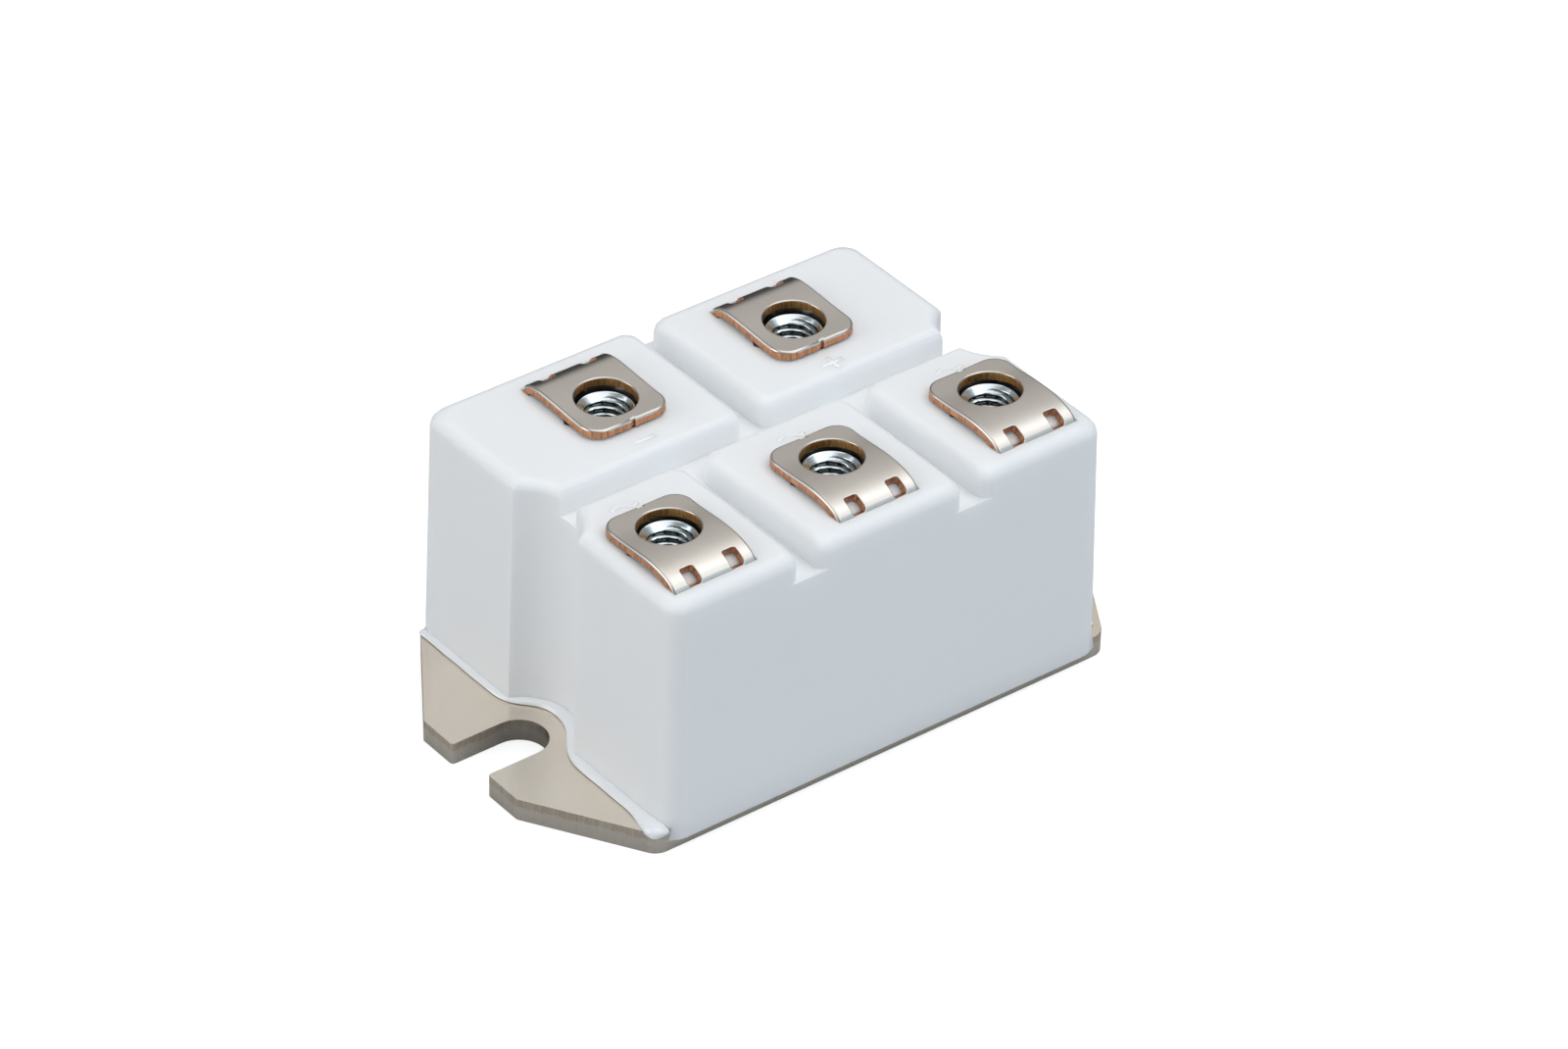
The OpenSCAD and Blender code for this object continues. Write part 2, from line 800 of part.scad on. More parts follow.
// Strap from an upper diode to its phase's track
module clip_ac(i) {
    arch_z = chip_top + strap_rise;
    color(COPPER) strap(
        [
            [high_diode_y + contact_length / 2, chip_top],
            [high_diode_y - contact_length / 2, chip_top],
            [bar_front + strap_rise / 2, arch_z],
            [ac_track_rear, arch_z],
            [ac_track_rear - strap_rise, track_top],
            [ac_track_rear - strap_rise - strap_foot, track_top],
        ],
        column_x(i),
        strap_width
    );
}

// Comb from the lower diodes to the minus track, over the straps
module bus_minus() {
    comb_front = -low_diode_y + chip_size / 2;
    color(COPPER) {
        translate([column_x(1) - strap_width / 2, comb_front, comb_z]) {
            cube([2 * column_pitch + strap_width, strap_width, strap_thickness]);
        }
        for (i = PHASES) {
            strap(
                [
                    [-low_diode_y - contact_length / 2, chip_top],
                    [-low_diode_y + contact_length / 2, chip_top],
                    [comb_front, comb_z],
                    [comb_front + strap_width, comb_z],
                ],
                column_x(i),
                strap_width
            );
        }
        strap(
            [
                [comb_front, comb_z],
                [pad_front + track_gap, comb_z],
                [pad_front + 2 * track_gap, track_top],
                [pad_front + 2 * track_gap + strap_foot, track_top],
            ],
            -bridge_x,
            bridge_width
        );
    }
}

// Everything that the soft potting covers
module covered_pieces() {
    substrate_copper();
    substrate_ceramic();
    track_plus();
    track_minus();
    for (i = PHASES) {
        track_ac(i);
        diode(i, high_diode_y);
        diode(i, -low_diode_y);
        clip_ac(i);
    }
    bus_minus();
}

// The five strips where they pass the potting
module strips() {
    for (i = TERMINALS) {
        at_terminal(i) shouldered_strip(i);
    }
}

module gel_fill() {
    color(GEL)
    difference() {
        cavity(plate_thickness, gel_level);
        covered_pieces();
        strips();
    }
}

module hard_fill() {
    color(RESIN)
    difference() {
        cavity(gel_level, hard_level);
        strips();
    }
}

baseplate();
housing();
sealing_bead_left();
sealing_bead_right();
terminal(MINUS);  // terminal_minus
terminal(PLUS);  // terminal_plus
for (i = PHASES) {
    terminal(FIRST_AC - 1 + i);
}
terminal_nuts();
substrate_copper();
substrate_ceramic();
track_plus();
track_minus();
for (i = PHASES) {
    track_ac(i);
    diode(i, high_diode_y);
    diode(i, -low_diode_y);
    clip_ac(i);
}
bus_minus();
gel_fill();
hard_fill();
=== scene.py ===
# %% [markdown]
# # A bridge rectifier module
# The module is a white moulded housing on a nickel-plated copper plate. Five bent metal tabs lie over
# captive nuts on its top, and a bead of silicone seals its ends to the plate. The CAD solids are the
# frame: they are loaded first, in metres, and every piece made here goes where they are.

# %% Load the CAD frame
import json
import math

import bmesh
import bpy
from mathutils import Matrix, Vector


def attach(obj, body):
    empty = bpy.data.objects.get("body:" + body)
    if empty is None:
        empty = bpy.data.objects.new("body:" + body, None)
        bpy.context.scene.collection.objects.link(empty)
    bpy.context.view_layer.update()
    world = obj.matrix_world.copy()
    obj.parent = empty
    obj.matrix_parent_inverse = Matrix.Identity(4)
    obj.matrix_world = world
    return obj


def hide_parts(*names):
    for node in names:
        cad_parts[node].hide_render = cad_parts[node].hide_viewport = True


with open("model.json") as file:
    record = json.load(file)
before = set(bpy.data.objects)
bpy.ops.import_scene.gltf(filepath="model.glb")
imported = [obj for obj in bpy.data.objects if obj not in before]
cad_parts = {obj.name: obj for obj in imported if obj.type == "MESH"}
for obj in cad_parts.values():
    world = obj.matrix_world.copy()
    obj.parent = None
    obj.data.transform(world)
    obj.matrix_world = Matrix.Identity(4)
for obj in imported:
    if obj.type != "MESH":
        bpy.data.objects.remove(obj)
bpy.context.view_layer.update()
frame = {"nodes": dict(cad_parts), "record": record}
cad_nodes = frame["nodes"]
MM = 0.001

# %% [markdown]
# ## The camera
# The photograph looks down on the front left corner through a long lens, so upright edges stay almost
# parallel. Corners of the housing and plate were matched to the picture to find the camera's place and
# its three axes. A camera could also be turned by three angles, but a matrix of axes holds the slight
# roll as well and leaves nothing to chance.

# %% Camera
camera_data = bpy.data.cameras.new("photo_camera")
camera_data.sensor_width = 36
camera_data.lens = 160.7
camera = bpy.data.objects.new("photo_camera", camera_data)
camera_right = (0.791006, -0.611420, 0.021779)
camera_up = (0.341321, 0.470557, 0.813680)
camera_back = (-0.507749, -0.636193, 0.580904)
camera_eye = (-0.354338, -0.447590, 0.423409)
camera_axes = Matrix((camera_right, camera_up, camera_back)).transposed().to_4x4()
camera.matrix_world = Matrix.Translation(camera_eye) @ camera_axes
bpy.context.scene.collection.objects.link(camera)
bpy.context.scene.camera = camera
print("camera is", round(Vector(camera_eye).length, 3), "m from the plate's middle")

# %% [markdown]
# ## Floor and light
# The picture is a product shot on white, lit from a large soft box overhead. A small cool box beside it
# adds to the bright line on the bends of the tabs. A wide card in front and a smaller one at the left
# fill the walls, and a warm card behind at the right is what the flat metal mirrors towards the camera.
# The front card is blue, which gives the front face its cool grey. The floor is a plain sheet, laid down
# here and given its paper later.

# %% Floor
floor_bm = bmesh.new()
bmesh.ops.create_grid(floor_bm, x_segments=1, y_segments=1, size=3)
floor_mesh = bpy.data.meshes.new("floor")
floor_bm.to_mesh(floor_mesh)
floor_bm.free()
floor = bpy.data.objects.new("floor", floor_mesh)
bpy.context.scene.collection.objects.link(floor)
print("floor is", floor.dimensions.x, "m wide")


# %% Lights
def soft_light(name, place, size, power, colour):
    """A square area light that faces the module."""
    data = bpy.data.lights.new(name, "AREA")
    data.size = size
    data.energy = power
    data.color = colour
    light = bpy.data.objects.new(name, data)
    facing = (Vector(place) - module_middle).to_track_quat("Z", "Y")
    light.matrix_world = Matrix.Translation(place) @ facing.to_matrix().to_4x4()
    bpy.context.scene.collection.objects.link(light)


module_middle = Vector((0, 0, 0.015))
soft_light("overhead_box", (0.12, -0.22, 0.95), 1.4, 6.75, (1.0, 0.99, 0.985))
soft_light("bend_box", (0.56, -0.11, 0.95), 0.5, 0.5, (0.75, 0.88, 1.0))
soft_light("front_card", (0.3, -1.0, 0.55), 1.0, 2.2, (0.60, 0.83, 1.0))
soft_light("left_card", (-1.05, 0.4, 0.40), 0.8, 4.5, (0.97, 0.99, 1.0))
soft_light("rear_card", (0.66, 0.83, 0.99), 1.0, 1.1, (1.0, 0.95, 0.88))

bpy.context.scene.view_settings.view_transform = "Standard"

# %% [markdown]
# ## Helpers for materials
# A material is a small graph of nodes. Building one takes the same three moves each time: add a node,
# set its values, and join its sockets. One helper does all three, so each material below reads as a
# list of what it is made of.


# %% Node helpers
def add(tree, kind, inputs=None, **settings):
    """A new node: its settings, then its inputs by name or number, each a value or a node's output."""
    node = tree.nodes.new(kind)
    for key, value in settings.items():
        setattr(node, key, value)
    for key, value in (inputs or {}).items():
        if isinstance(value, bpy.types.NodeSocket):
            tree.links.new(value, node.inputs[key])
        else:
            node.inputs[key].default_value = value
    return node


def new_material(name, **fixed):
    """A material with a Principled shader, the values that are the same all over, and its node tree."""
    material = bpy.data.materials.new(name)
    material.use_nodes = True
    tree = material.node_tree
    shader = tree.nodes["Principled BSDF"]
    for key, value in fixed.items():
        shader.inputs[key.replace("_", " ")].default_value = value
    return material, tree, shader


def new_group(name, inputs, outputs):
    """A shader node group with named sockets, and its input and output nodes."""
    group = bpy.data.node_groups.new(name, "ShaderNodeTree")
    for socket, kind in inputs:
        group.interface.new_socket(socket, in_out="INPUT", socket_type=kind)
    for socket, kind in outputs:
        group.interface.new_socket(socket, in_out="OUTPUT", socket_type=kind)
    return group, group.nodes.new("NodeGroupInput"), group.nodes.new("NodeGroupOutput")


def use_group(tree, group, inputs):
    """A node that runs a group in a material."""
    return add(tree, "ShaderNodeGroup", inputs, node_tree=group)


def mix_colours(tree, share, first, second):
    """A colour between two, by a mask."""
    node = add(tree, "ShaderNodeMix", {0: share, 6: first, 7: second}, data_type="RGBA")
    return node.outputs[2]


# %% [markdown]
# ## The room
# Bright metal shows the room it stands in. The far rims of the tabs are dark lines in the picture,
# because they mirror an unlit corner low at the rear right, while the rest of the room is pale. A black
# card would do the same, but it would stand in the way when the part is seen from behind. So the
# world itself is pale in every direction except that one.

# %% Room
world = bpy.data.worlds.new("pale_room")
bpy.context.scene.world = world
world.use_nodes = True
tree = world.node_tree
direction = add(tree, "ShaderNodeTexCoord").outputs["Generated"]
rear_right = (0.68, 0.73, 0.0)
unlit_colour = (0.04, 0.04, 0.045, 1)
towards = add(tree, "ShaderNodeVectorMath", {0: direction, 1: rear_right}, operation="DOT_PRODUCT")
height = add(tree, "ShaderNodeSeparateXYZ", {0: direction})
beside = add(
    tree, "ShaderNodeMapRange", {"Value": towards.outputs["Value"], "From Min": 0.68, "From Max": 0.85}
)
below = add(tree, "ShaderNodeMapRange", {"Value": height.outputs["Z"], "From Min": 0.46, "From Max": 0.34})
corner = add(tree, "ShaderNodeMath", {0: beside.outputs[0], 1: below.outputs[0]}, operation="MULTIPLY")
room_colour = mix_colours(tree, corner.outputs[0], (0.90, 0.95, 1.0, 1), unlit_colour)
tree.links.new(room_colour, tree.nodes["Background"].inputs["Color"])
tree.nodes["Background"].inputs["Strength"].default_value = 0.32
print("room:", len(tree.nodes), "nodes")

# %% [markdown]
# ## Shared effects
# No real surface is one colour: plating clouds over, plastic flows unevenly, and sheared metal shows
# the tool's path. Three node groups hold these effects, and each material mixes its own share of them.
# *Clouds* drifts between two values in soft patches. *Specks* gives a mask of rare small spots. *Shear
# lines* gives fine lines that run along the third axis of its vector.

# %% Clouds
FLOAT, VECTOR = "NodeSocketFloat", "NodeSocketVector"
clouds, clouds_in, clouds_out = new_group(
    "clouds", [("Vector", VECTOR), ("Scale", FLOAT), ("Low", FLOAT), ("High", FLOAT)], [("Value", FLOAT)]
)
cloud_noise = add(
    clouds,
    "ShaderNodeTexNoise",
    {
        "Vector": clouds_in.outputs["Vector"],
        "Scale": clouds_in.outputs["Scale"],
        "Detail": 4,
        "Roughness": 0.6,
    },
)
cloud_range = add(
    clouds,
    "ShaderNodeMapRange",
    {
        "Value": cloud_noise.outputs[0],
        "From Min": 0.32,
        "From Max": 0.68,
        "To Min": clouds_in.outputs["Low"],
        "To Max": clouds_in.outputs["High"],
    },
    clamp=False,
)
clouds.links.new(cloud_range.outputs[0], clouds_out.inputs["Value"])
print("clouds group:", len(clouds.nodes), "nodes")

# %% Specks
specks, specks_in, specks_out = new_group(
    "specks", [("Vector", VECTOR), ("Scale", FLOAT), ("Share", FLOAT)], [("Mask", FLOAT)]
)
speck_cells = add(
    specks,
    "ShaderNodeTexVoronoi",
    {"Vector": specks_in.outputs["Vector"], "Scale": specks_in.outputs["Scale"], "Randomness": 1.0},
)
speck_rare = add(
    specks,
    "ShaderNodeMath",
    {0: speck_cells.outputs["Color"], 1: specks_in.outputs["Share"]},
    operation="LESS_THAN",
)
speck_round = add(
    specks,
    "ShaderNodeMapRange",
    {
        "Value": speck_cells.outputs["Distance"],
        "From Min": 0.10,
        "From Max": 0.22,
        "To Min": 1.0,
        "To Max": 0.0,
    },
)
speck_mask = add(
    specks, "ShaderNodeMath", {0: speck_rare.outputs[0], 1: speck_round.outputs[0]}, operation="MULTIPLY"
)
specks.links.new(speck_mask.outputs[0], specks_out.inputs["Mask"])
print("specks group:", len(specks.nodes), "nodes")

# %% Shear lines
shear, shear_in, shear_out = new_group(
    "shear_lines",
    [("Vector", VECTOR), ("Scale", FLOAT), ("Length", FLOAT)],
    [("Mask", FLOAT), ("Height", FLOAT)],
)
shear_stretch = add(shear, "ShaderNodeCombineXYZ", {"X": 1.0, "Y": 1.0, "Z": shear_in.outputs["Length"]})
shear_place = add(
    shear,
    "ShaderNodeVectorMath",
    {0: shear_in.outputs["Vector"], 1: shear_stretch.outputs[0]},
    operation="MULTIPLY",
)
shear_noise = add(
    shear,
    "ShaderNodeTexNoise",
    {"Vector": shear_place.outputs[0], "Scale": shear_in.outputs["Scale"], "Detail": 3, "Roughness": 0.7},
)
shear_mask = add(
    shear, "ShaderNodeMapRange", {"Value": shear_noise.outputs[0], "From Min": 0.36, "From Max": 0.64}
)
shear.links.new(shear_mask.outputs[0], shear_out.inputs["Mask"])
shear.links.new(shear_noise.outputs[0], shear_out.inputs["Height"])
print("shear lines group:", len(shear.nodes), "nodes")

# %% [markdown]
# ## White plastic
# The housing is glass-filled plastic with a fine satin skin from its mould. Its colour drifts by a
# percent or two, and the skin's grain is about a tenth of a millimetre, which only shows as a soft
# sheen. A flat white would look like paper, so the grain goes into the bump and the drift into both
# colour and roughness.


# %% White plastic
def fine_bump(tree, shader, vector, scale, strength, distance):
    """Grain of a given fineness on the shader's normal."""
    grain = add(tree, "ShaderNodeTexNoise", {"Vector": vector, "Scale": scale, "Detail": 2})
    bump = add(
        tree, "ShaderNodeBump", {"Height": grain.outputs[0], "Strength": strength, "Distance": distance}
    )
    tree.links.new(bump.outputs[0], shader.inputs["Normal"])


def object_place(tree):
    """The point on the object, in metres."""
    return add(tree, "ShaderNodeTexCoord").outputs["Object"]


white_plastic, tree, shader = new_material("white_plastic", Subsurface_Weight=0.5, Subsurface_Scale=1.2 * MM)
shader.inputs["Subsurface Radius"].default_value = (1.0, 1.0, 1.0)
place = object_place(tree)
drift = use_group(tree, clouds, {"Vector": place, "Scale": 140, "Low": 0.0, "High": 1.0})
spots = use_group(tree, specks, {"Vector": place, "Scale": 700, "Share": 0.012})
sheen = use_group(tree, clouds, {"Vector": place, "Scale": 900, "Low": 0.40, "High": 0.50})
tint = mix_colours(tree, drift.outputs[0], (0.925, 0.940, 0.950, 1), (0.940, 0.950, 0.960, 1))
speck_colour = (0.62, 0.62, 0.61, 1)
tree.links.new(mix_colours(tree, spots.outputs[0], tint, speck_colour), shader.inputs["Base Color"])
tree.links.new(sheen.outputs[0], shader.inputs["Roughness"])
fine_bump(tree, shader, place, 7000, 0.12, 0.00003)
print("white plastic:", len(tree.nodes), "nodes")

# %% [markdown]
# ## Silicone
# The sealing bead was laid by hand or needle and left to set. It is brighter and glossier than the plastic,
# and its skin has slow ripples about a millimetre long that break up the highlight. Along the line where it
# meets the plate its colour is darkened as painted shade: an attribute named *contact* marks that line.

# %% Silicone
silicone, tree, shader = new_material("silicone", Coat_Weight=1.0, Coat_Roughness=0.07, IOR=1.43)
place = object_place(tree)
milk = use_group(tree, clouds, {"Vector": place, "Scale": 350, "Low": 0.0, "High": 1.0})
wet = use_group(tree, clouds, {"Vector": place, "Scale": 600, "Low": 0.14, "High": 0.26})
skin = mix_colours(tree, milk.outputs[0], (0.925, 0.94, 0.955, 1), (0.95, 0.96, 0.975, 1))
# Painted shade: the bead is darkened towards brown along the line where it meets the plate.
crack = add(tree, "ShaderNodeAttribute", attribute_name="contact")
contact_shade_colour = (0.36, 0.30, 0.24, 1)
tree.links.new(mix_colours(tree, crack.outputs["Fac"], skin, contact_shade_colour), shader.inputs["Base Color"])
tree.links.new(wet.outputs[0], shader.inputs["Roughness"])
fine_bump(tree, shader, place, 900, 0.10, 0.00008)
print("silicone:", len(tree.nodes), "nodes")

# %% [markdown]
# ## Nickel plate
# The baseplate is copper with a satin layer of nickel, warm grey like champagne. Handling and soldering left
# faint stains. They go into the colour, and the gloss stays almost even, because a gloss that drifts shows as
# small bright flecks on so flat a face. Its walls were sheared: the blade burnished an upper band with
# upright lines, and below a ragged border the metal tore and is smoother and greyer. Inside the slots a mask
# by place mixes in a dark tint, more so towards the round end: this is painted shade in the deep, narrow
# slots.

# %% Nickel plate
nickel_plate, tree, shader = new_material("nickel_plate", Metallic=1.0)
place = object_place(tree)
patches = use_group(tree, clouds, {"Vector": place, "Scale": 110, "Low": 0.0, "High": 1.0})
stains = use_group(tree, clouds, {"Vector": place, "Scale": 90, "Low": -0.05, "High": 0.15})
satin = use_group(tree, clouds, {"Vector": place, "Scale": 260, "Low": 0.255, "High": 0.265})
base = mix_colours(tree, patches.outputs[0], (0.868, 0.785, 0.680, 1), (0.903, 0.820, 0.715, 1))
stain_colour = (0.56, 0.47, 0.36, 1)
tree.links.new(mix_colours(tree, stains.outputs[0], base, stain_colour), shader.inputs["Base Color"])
tree.links.new(satin.outputs[0], shader.inputs["Roughness"])
fine_bump(tree, shader, place, 5200, 0.008, 0.00002)
print("nickel plate:", len(tree.nodes), "nodes")

# %% Sheared wall of the plate
sheared_plate, tree, shader = new_material("sheared_plate", Metallic=1.0)
place = object_place(tree)
lines = use_group(tree, shear, {"Vector": place, "Scale": 2600, "Length": 0.06})
axes = add(tree, "ShaderNodeSeparateXYZ", {0: place})
ragged = use_group(tree, clouds, {"Vector": place, "Scale": 900, "Low": -0.22 * MM, "High": 0.22 * MM})
tear = add(tree, "ShaderNodeMath", {0: axes.outputs["Z"], 1: ragged.outputs[0]}, operation="ADD")
band = add(
    tree, "ShaderNodeMapRange", {"Value": tear.outputs[0], "From Min": 1.60 * MM, "From Max": 1.72 * MM}
)
torn_tint = mix_colours(tree, lines.outputs["Mask"], (0.62, 0.575, 0.51, 1), (0.59, 0.54, 0.475, 1))
cut_tint = mix_colours(tree, lines.outputs["Mask"], (0.58, 0.51, 0.425, 1), (0.46, 0.39, 0.305, 1))
wall_tint = mix_colours(tree, band.outputs[0], torn_tint, cut_tint)
# Painted shade: inside the slots the wall is mixed towards a dark tint, more towards the round end.
slot_mouth, slot_middle, slot_side = 36.0, 30.0, 3.1
slot_shade_colour, slot_shade_share = (0.20, 0.18, 0.155, 1), 0.62
outward = add(tree, "ShaderNodeMath", {0: axes.outputs["X"]}, operation="ABSOLUTE")
beside = add(tree, "ShaderNodeMath", {0: axes.outputs["Y"]}, operation="ABSOLUTE")
in_slot = add(tree, "ShaderNodeMath", {0: beside.outputs[0], 1: slot_side * MM}, operation="LESS_THAN")
deep = add(
    tree,
    "ShaderNodeMapRange",
    {
        "Value": outward.outputs[0],
        "From Min": slot_mouth * MM,
        "From Max": slot_middle * MM,
        "To Max": slot_shade_share,
    },
)
shade = add(tree, "ShaderNodeMath", {0: in_slot.outputs[0], 1: deep.outputs[0]}, operation="MULTIPLY")
tree.links.new(mix_colours(tree, shade.outputs[0], wall_tint, slot_shade_colour), shader.inputs["Base Color"])
torn = use_group(tree, clouds, {"Vector": place, "Scale": 900, "Low": 0.26, "High": 0.36})
tree.links.new(torn.outputs[0], shader.inputs["Roughness"])
groove_bump = add(
    tree, "ShaderNodeBump", {"Height": lines.outputs["Height"], "Strength": 0.10, "Distance": 0.00006}
)
tree.links.new(groove_bump.outputs[0], shader.inputs["Normal"])
print("sheared plate wall:", len(tree.nodes), "nodes")

# %% [markdown]
# ## Nickel and copper of the tabs
# Each tab is punched from nickel-plated copper strip. The flat faces keep the nickel, while the punched
# walls show bare copper with lines square to the strip, browner in the screw hole, where it was wiped by
# the punch. The strip's grain follows the bend, so these materials read an attribute named *blank*:
# where each point was on the flat blank, before bending.


# %% Strip nickel
def blank_place(tree):
    """The point on the flat blank: across the strip, along it, and through its thickness."""
    return add(tree, "ShaderNodeAttribute", attribute_name="blank").outputs["Vector"]


strip_nickel, tree, shader = new_material("strip_nickel", Metallic=1.0)
place = blank_place(tree)
rolled = add(tree, "ShaderNodeVectorMath", {0: place, 1: (1.0, 0.10, 1.0)}, operation="MULTIPLY")
roll_lines = use_group(tree, clouds, {"Vector": rolled.outputs[0], "Scale": 2600, "Low": 0.0, "High": 1.0})
haze = use_group(tree, clouds, {"Vector": place, "Scale": 300, "Low": 0.27, "High": 0.32})
spots = use_group(tree, specks, {"Vector": place, "Scale": 700, "Share": 0.012})
base = mix_colours(tree, roll_lines.outputs[0], (0.630, 0.590, 0.540, 1), (0.645, 0.605, 0.555, 1))
tarnish_colour = (0.46, 0.38, 0.30, 1)
tree.links.new(mix_colours(tree, spots.outputs[0], base, tarnish_colour), shader.inputs["Base Color"])
tree.links.new(haze.outputs[0], shader.inputs["Roughness"])
fine_bump(tree, shader, rolled.outputs[0], 2400, 0.012, 0.00002)
print("strip nickel:", len(tree.nodes), "nodes")


# %% Punched copper
def punched_material(name, bright, dark, rough):
    """Cut metal with lines square to the strip and a mottle from the tear."""
    material, tree, shader = new_material(name, Metallic=1.0)
    place = blank_place(tree)
    lines = use_group(tree, shear, {"Vector": place, "Scale": 4200, "Length": 0.12})
    mottle = use_group(tree, clouds, {"Vector": place, "Scale": 2200, "Low": 0.0, "High": 0.5})
    share = add(
        tree, "ShaderNodeMath", {0: lines.outputs["Mask"], 1: mottle.outputs[0]}, operation="MAXIMUM"
    )
    tree.links.new(mix_colours(tree, share.outputs[0], (*bright, 1), (*dark, 1)), shader.inputs["Base Color"])
    dull = use_group(tree, clouds, {"Vector": place, "Scale": 1500, "Low": rough[0], "High": rough[1]})
    tree.links.new(dull.outputs[0], shader.inputs["Roughness"])
    bump = add(
        tree, "ShaderNodeBump", {"Height": lines.outputs["Height"], "Strength": 0.3, "Distance": 0.00005}
    )
    tree.links.new(bump.outputs[0], shader.inputs["Normal"])
    return material


punched_copper = punched_material("punched_copper", (0.76, 0.385, 0.215), (0.36, 0.165, 0.090), (0.34, 0.52))
hole_bronze = punched_material("hole_bronze", (0.90, 0.480, 0.180), (0.52, 0.250, 0.080), (0.26, 0.36))
print("punched copper:", len(punched_copper.node_tree.nodes), "nodes")

# %% [markdown]
# ## Zinc and the sealed pieces
# The nuts have bright blue zinc, darkened as painted shade in the roots of their threads and on the flat ring
# of their tops: an attribute named *root* says how deep in the thread a point lies, and is full on that ring.
# The pieces inside are sealed under potting and never seen, but each still gets the finish of the real thing,
# so the part can be opened up in a section view.

# %% Zinc
zinc, tree, shader = new_material("zinc", Metallic=1.0)
place = object_place(tree)
film = use_group(tree, clouds, {"Vector": place, "Scale": 700, "Low": 0.0, "High": 1.0})
bright = use_group(tree, clouds, {"Vector": place, "Scale": 900, "Low": 0.17, "High": 0.21})
unshaded_zinc = mix_colours(tree, film.outputs[0], (0.63, 0.695, 0.730, 1), (0.69, 0.745, 0.765, 1))
# Painted shade: the thread roots and the flat ring of the nut's top are darkened towards black.
root = add(tree, "ShaderNodeAttribute", attribute_name="root")
thread_shade_colour = (0.06, 0.09, 0.08, 1)
tree.links.new(mix_colours(tree, root.outputs["Fac"], unshaded_zinc, thread_shade_colour), shader.inputs["Base Color"])
tree.links.new(bright.outputs[0], shader.inputs["Roughness"])
fine_bump(tree, shader, place, 2400, 0.008, 0.00002)
print("zinc:", len(tree.nodes), "nodes")


# %% Sealed finishes
def cloudy_material(name, scale, first, second, rough, **fixed):
    """A finish that drifts between two colours and two roughnesses."""
    material, tree, shader = new_material(name, **fixed)
    place = object_place(tree)
    drift = use_group(tree, clouds, {"Vector": place, "Scale": scale, "Low": 0.0, "High": 1.0})
    gloss = use_group(tree, clouds, {"Vector": place, "Scale": 2 * scale, "Low": rough[0], "High": rough[1]})
    tint = mix_colours(tree, drift.outputs[0], (*first, 1), (*second, 1))
    tree.links.new(tint, shader.inputs["Base Color"])
    tree.links.new(gloss.outputs[0], shader.inputs["Roughness"])
    fine_bump(tree, shader, place, 6 * scale, 0.10, 0.00003)
    return material


bare_copper = cloudy_material(
    "bare_copper", 500, (0.80, 0.47, 0.33), (0.70, 0.38, 0.25), (0.26, 0.42), Metallic=1.0
)
alumina = cloudy_material("alumina", 800, (0.88, 0.87, 0.82), (0.83, 0.82, 0.77), (0.50, 0.65))
silicon = cloudy_material("silicon", 900, (0.33, 0.34, 0.38), (0.42, 0.43, 0.46), (0.20, 0.34), Metallic=1.0)
soft_gel = cloudy_material("soft_gel", 200, (0.80, 0.86, 0.88), (0.86, 0.90, 0.91), (0.08, 0.18), IOR=1.41)
cast_resin = cloudy_material("cast_resin", 400, (0.040, 0.043, 0.046), (0.060, 0.063, 0.066), (0.35, 0.55))
sealed = {
    "copper": bare_copper,
    "alumina": alumina,
    "silicon": silicon,
    "gel": soft_gel,
    "resin": cast_resin,
}
for part in frame["record"]["subparts"]:
    if part["material_slot"] in sealed:
        cad_nodes[part["node"]].material_slots[0].material = sealed[part["material_slot"]]
print("sealed finishes:", sorted(sealed))

# %% [markdown]
# ## Floor paper
# A white sheet right under the part would light its walls from below and turn the plate's cut sides
# white, which the picture doesn't show: there the sheet was far away and dark to the metal. So the paper
# is mid-grey, with a glow that only the camera's own rays see. At the rear right it is almost black to
# mirrored rays alone, and carries on the unlit corner of the room below the horizon. The background
# stays white, and what stands on it keeps dark undersides.

# %% Floor paper
floor_paper = cloudy_material("floor_paper", 3, (0.55, 0.55, 0.55), (0.58, 0.58, 0.58), (0.75, 0.85))
tree = floor_paper.node_tree
shader = tree.nodes["Principled BSDF"]
shader.inputs["Emission Color"].default_value = (1, 1, 1, 1)
ray = add(tree, "ShaderNodeLightPath")
away = (0.62, 0.78, 0.0)
behind = add(tree, "ShaderNodeVectorMath", {0: object_place(tree), 1: away}, operation="DOT_PRODUCT")
far = add(tree, "ShaderNodeMapRange", {"Value": behind.outputs["Value"], "From Min": 0.05, "From Max": 0.12})
unlit = add(
    tree, "ShaderNodeMath", {0: far.outputs[0], 1: ray.outputs["Is Glossy Ray"]}, operation="MULTIPLY"
)
paper = shader.inputs["Base Color"].links[0].from_socket
tree.links.new(mix_colours(tree, unlit.outputs[0], paper, unlit_colour), shader.inputs["Base Color"])
glow = add(tree, "ShaderNodeMath", {0: ray.outputs["Is Camera Ray"], 1: 0.66}, operation="MULTIPLY")
tree.links.new(glow.outputs[0], shader.inputs["Emission Strength"])
floor.data.materials.append(floor_paper)
print("floor paper:", len(tree.nodes), "nodes")

# %% [markdown]
# ## Keeping a piece
# Every piece below ends the same way: its mesh becomes an object at the origin, its smooth faces are
# split along sharp edges, and it takes the place of its CAD node, if it has one. Most pieces also get
# weighted normals, which keep large flats flat beside rounded edges, so that small roundings catch the
# light cleanly. The bent tabs do without them.


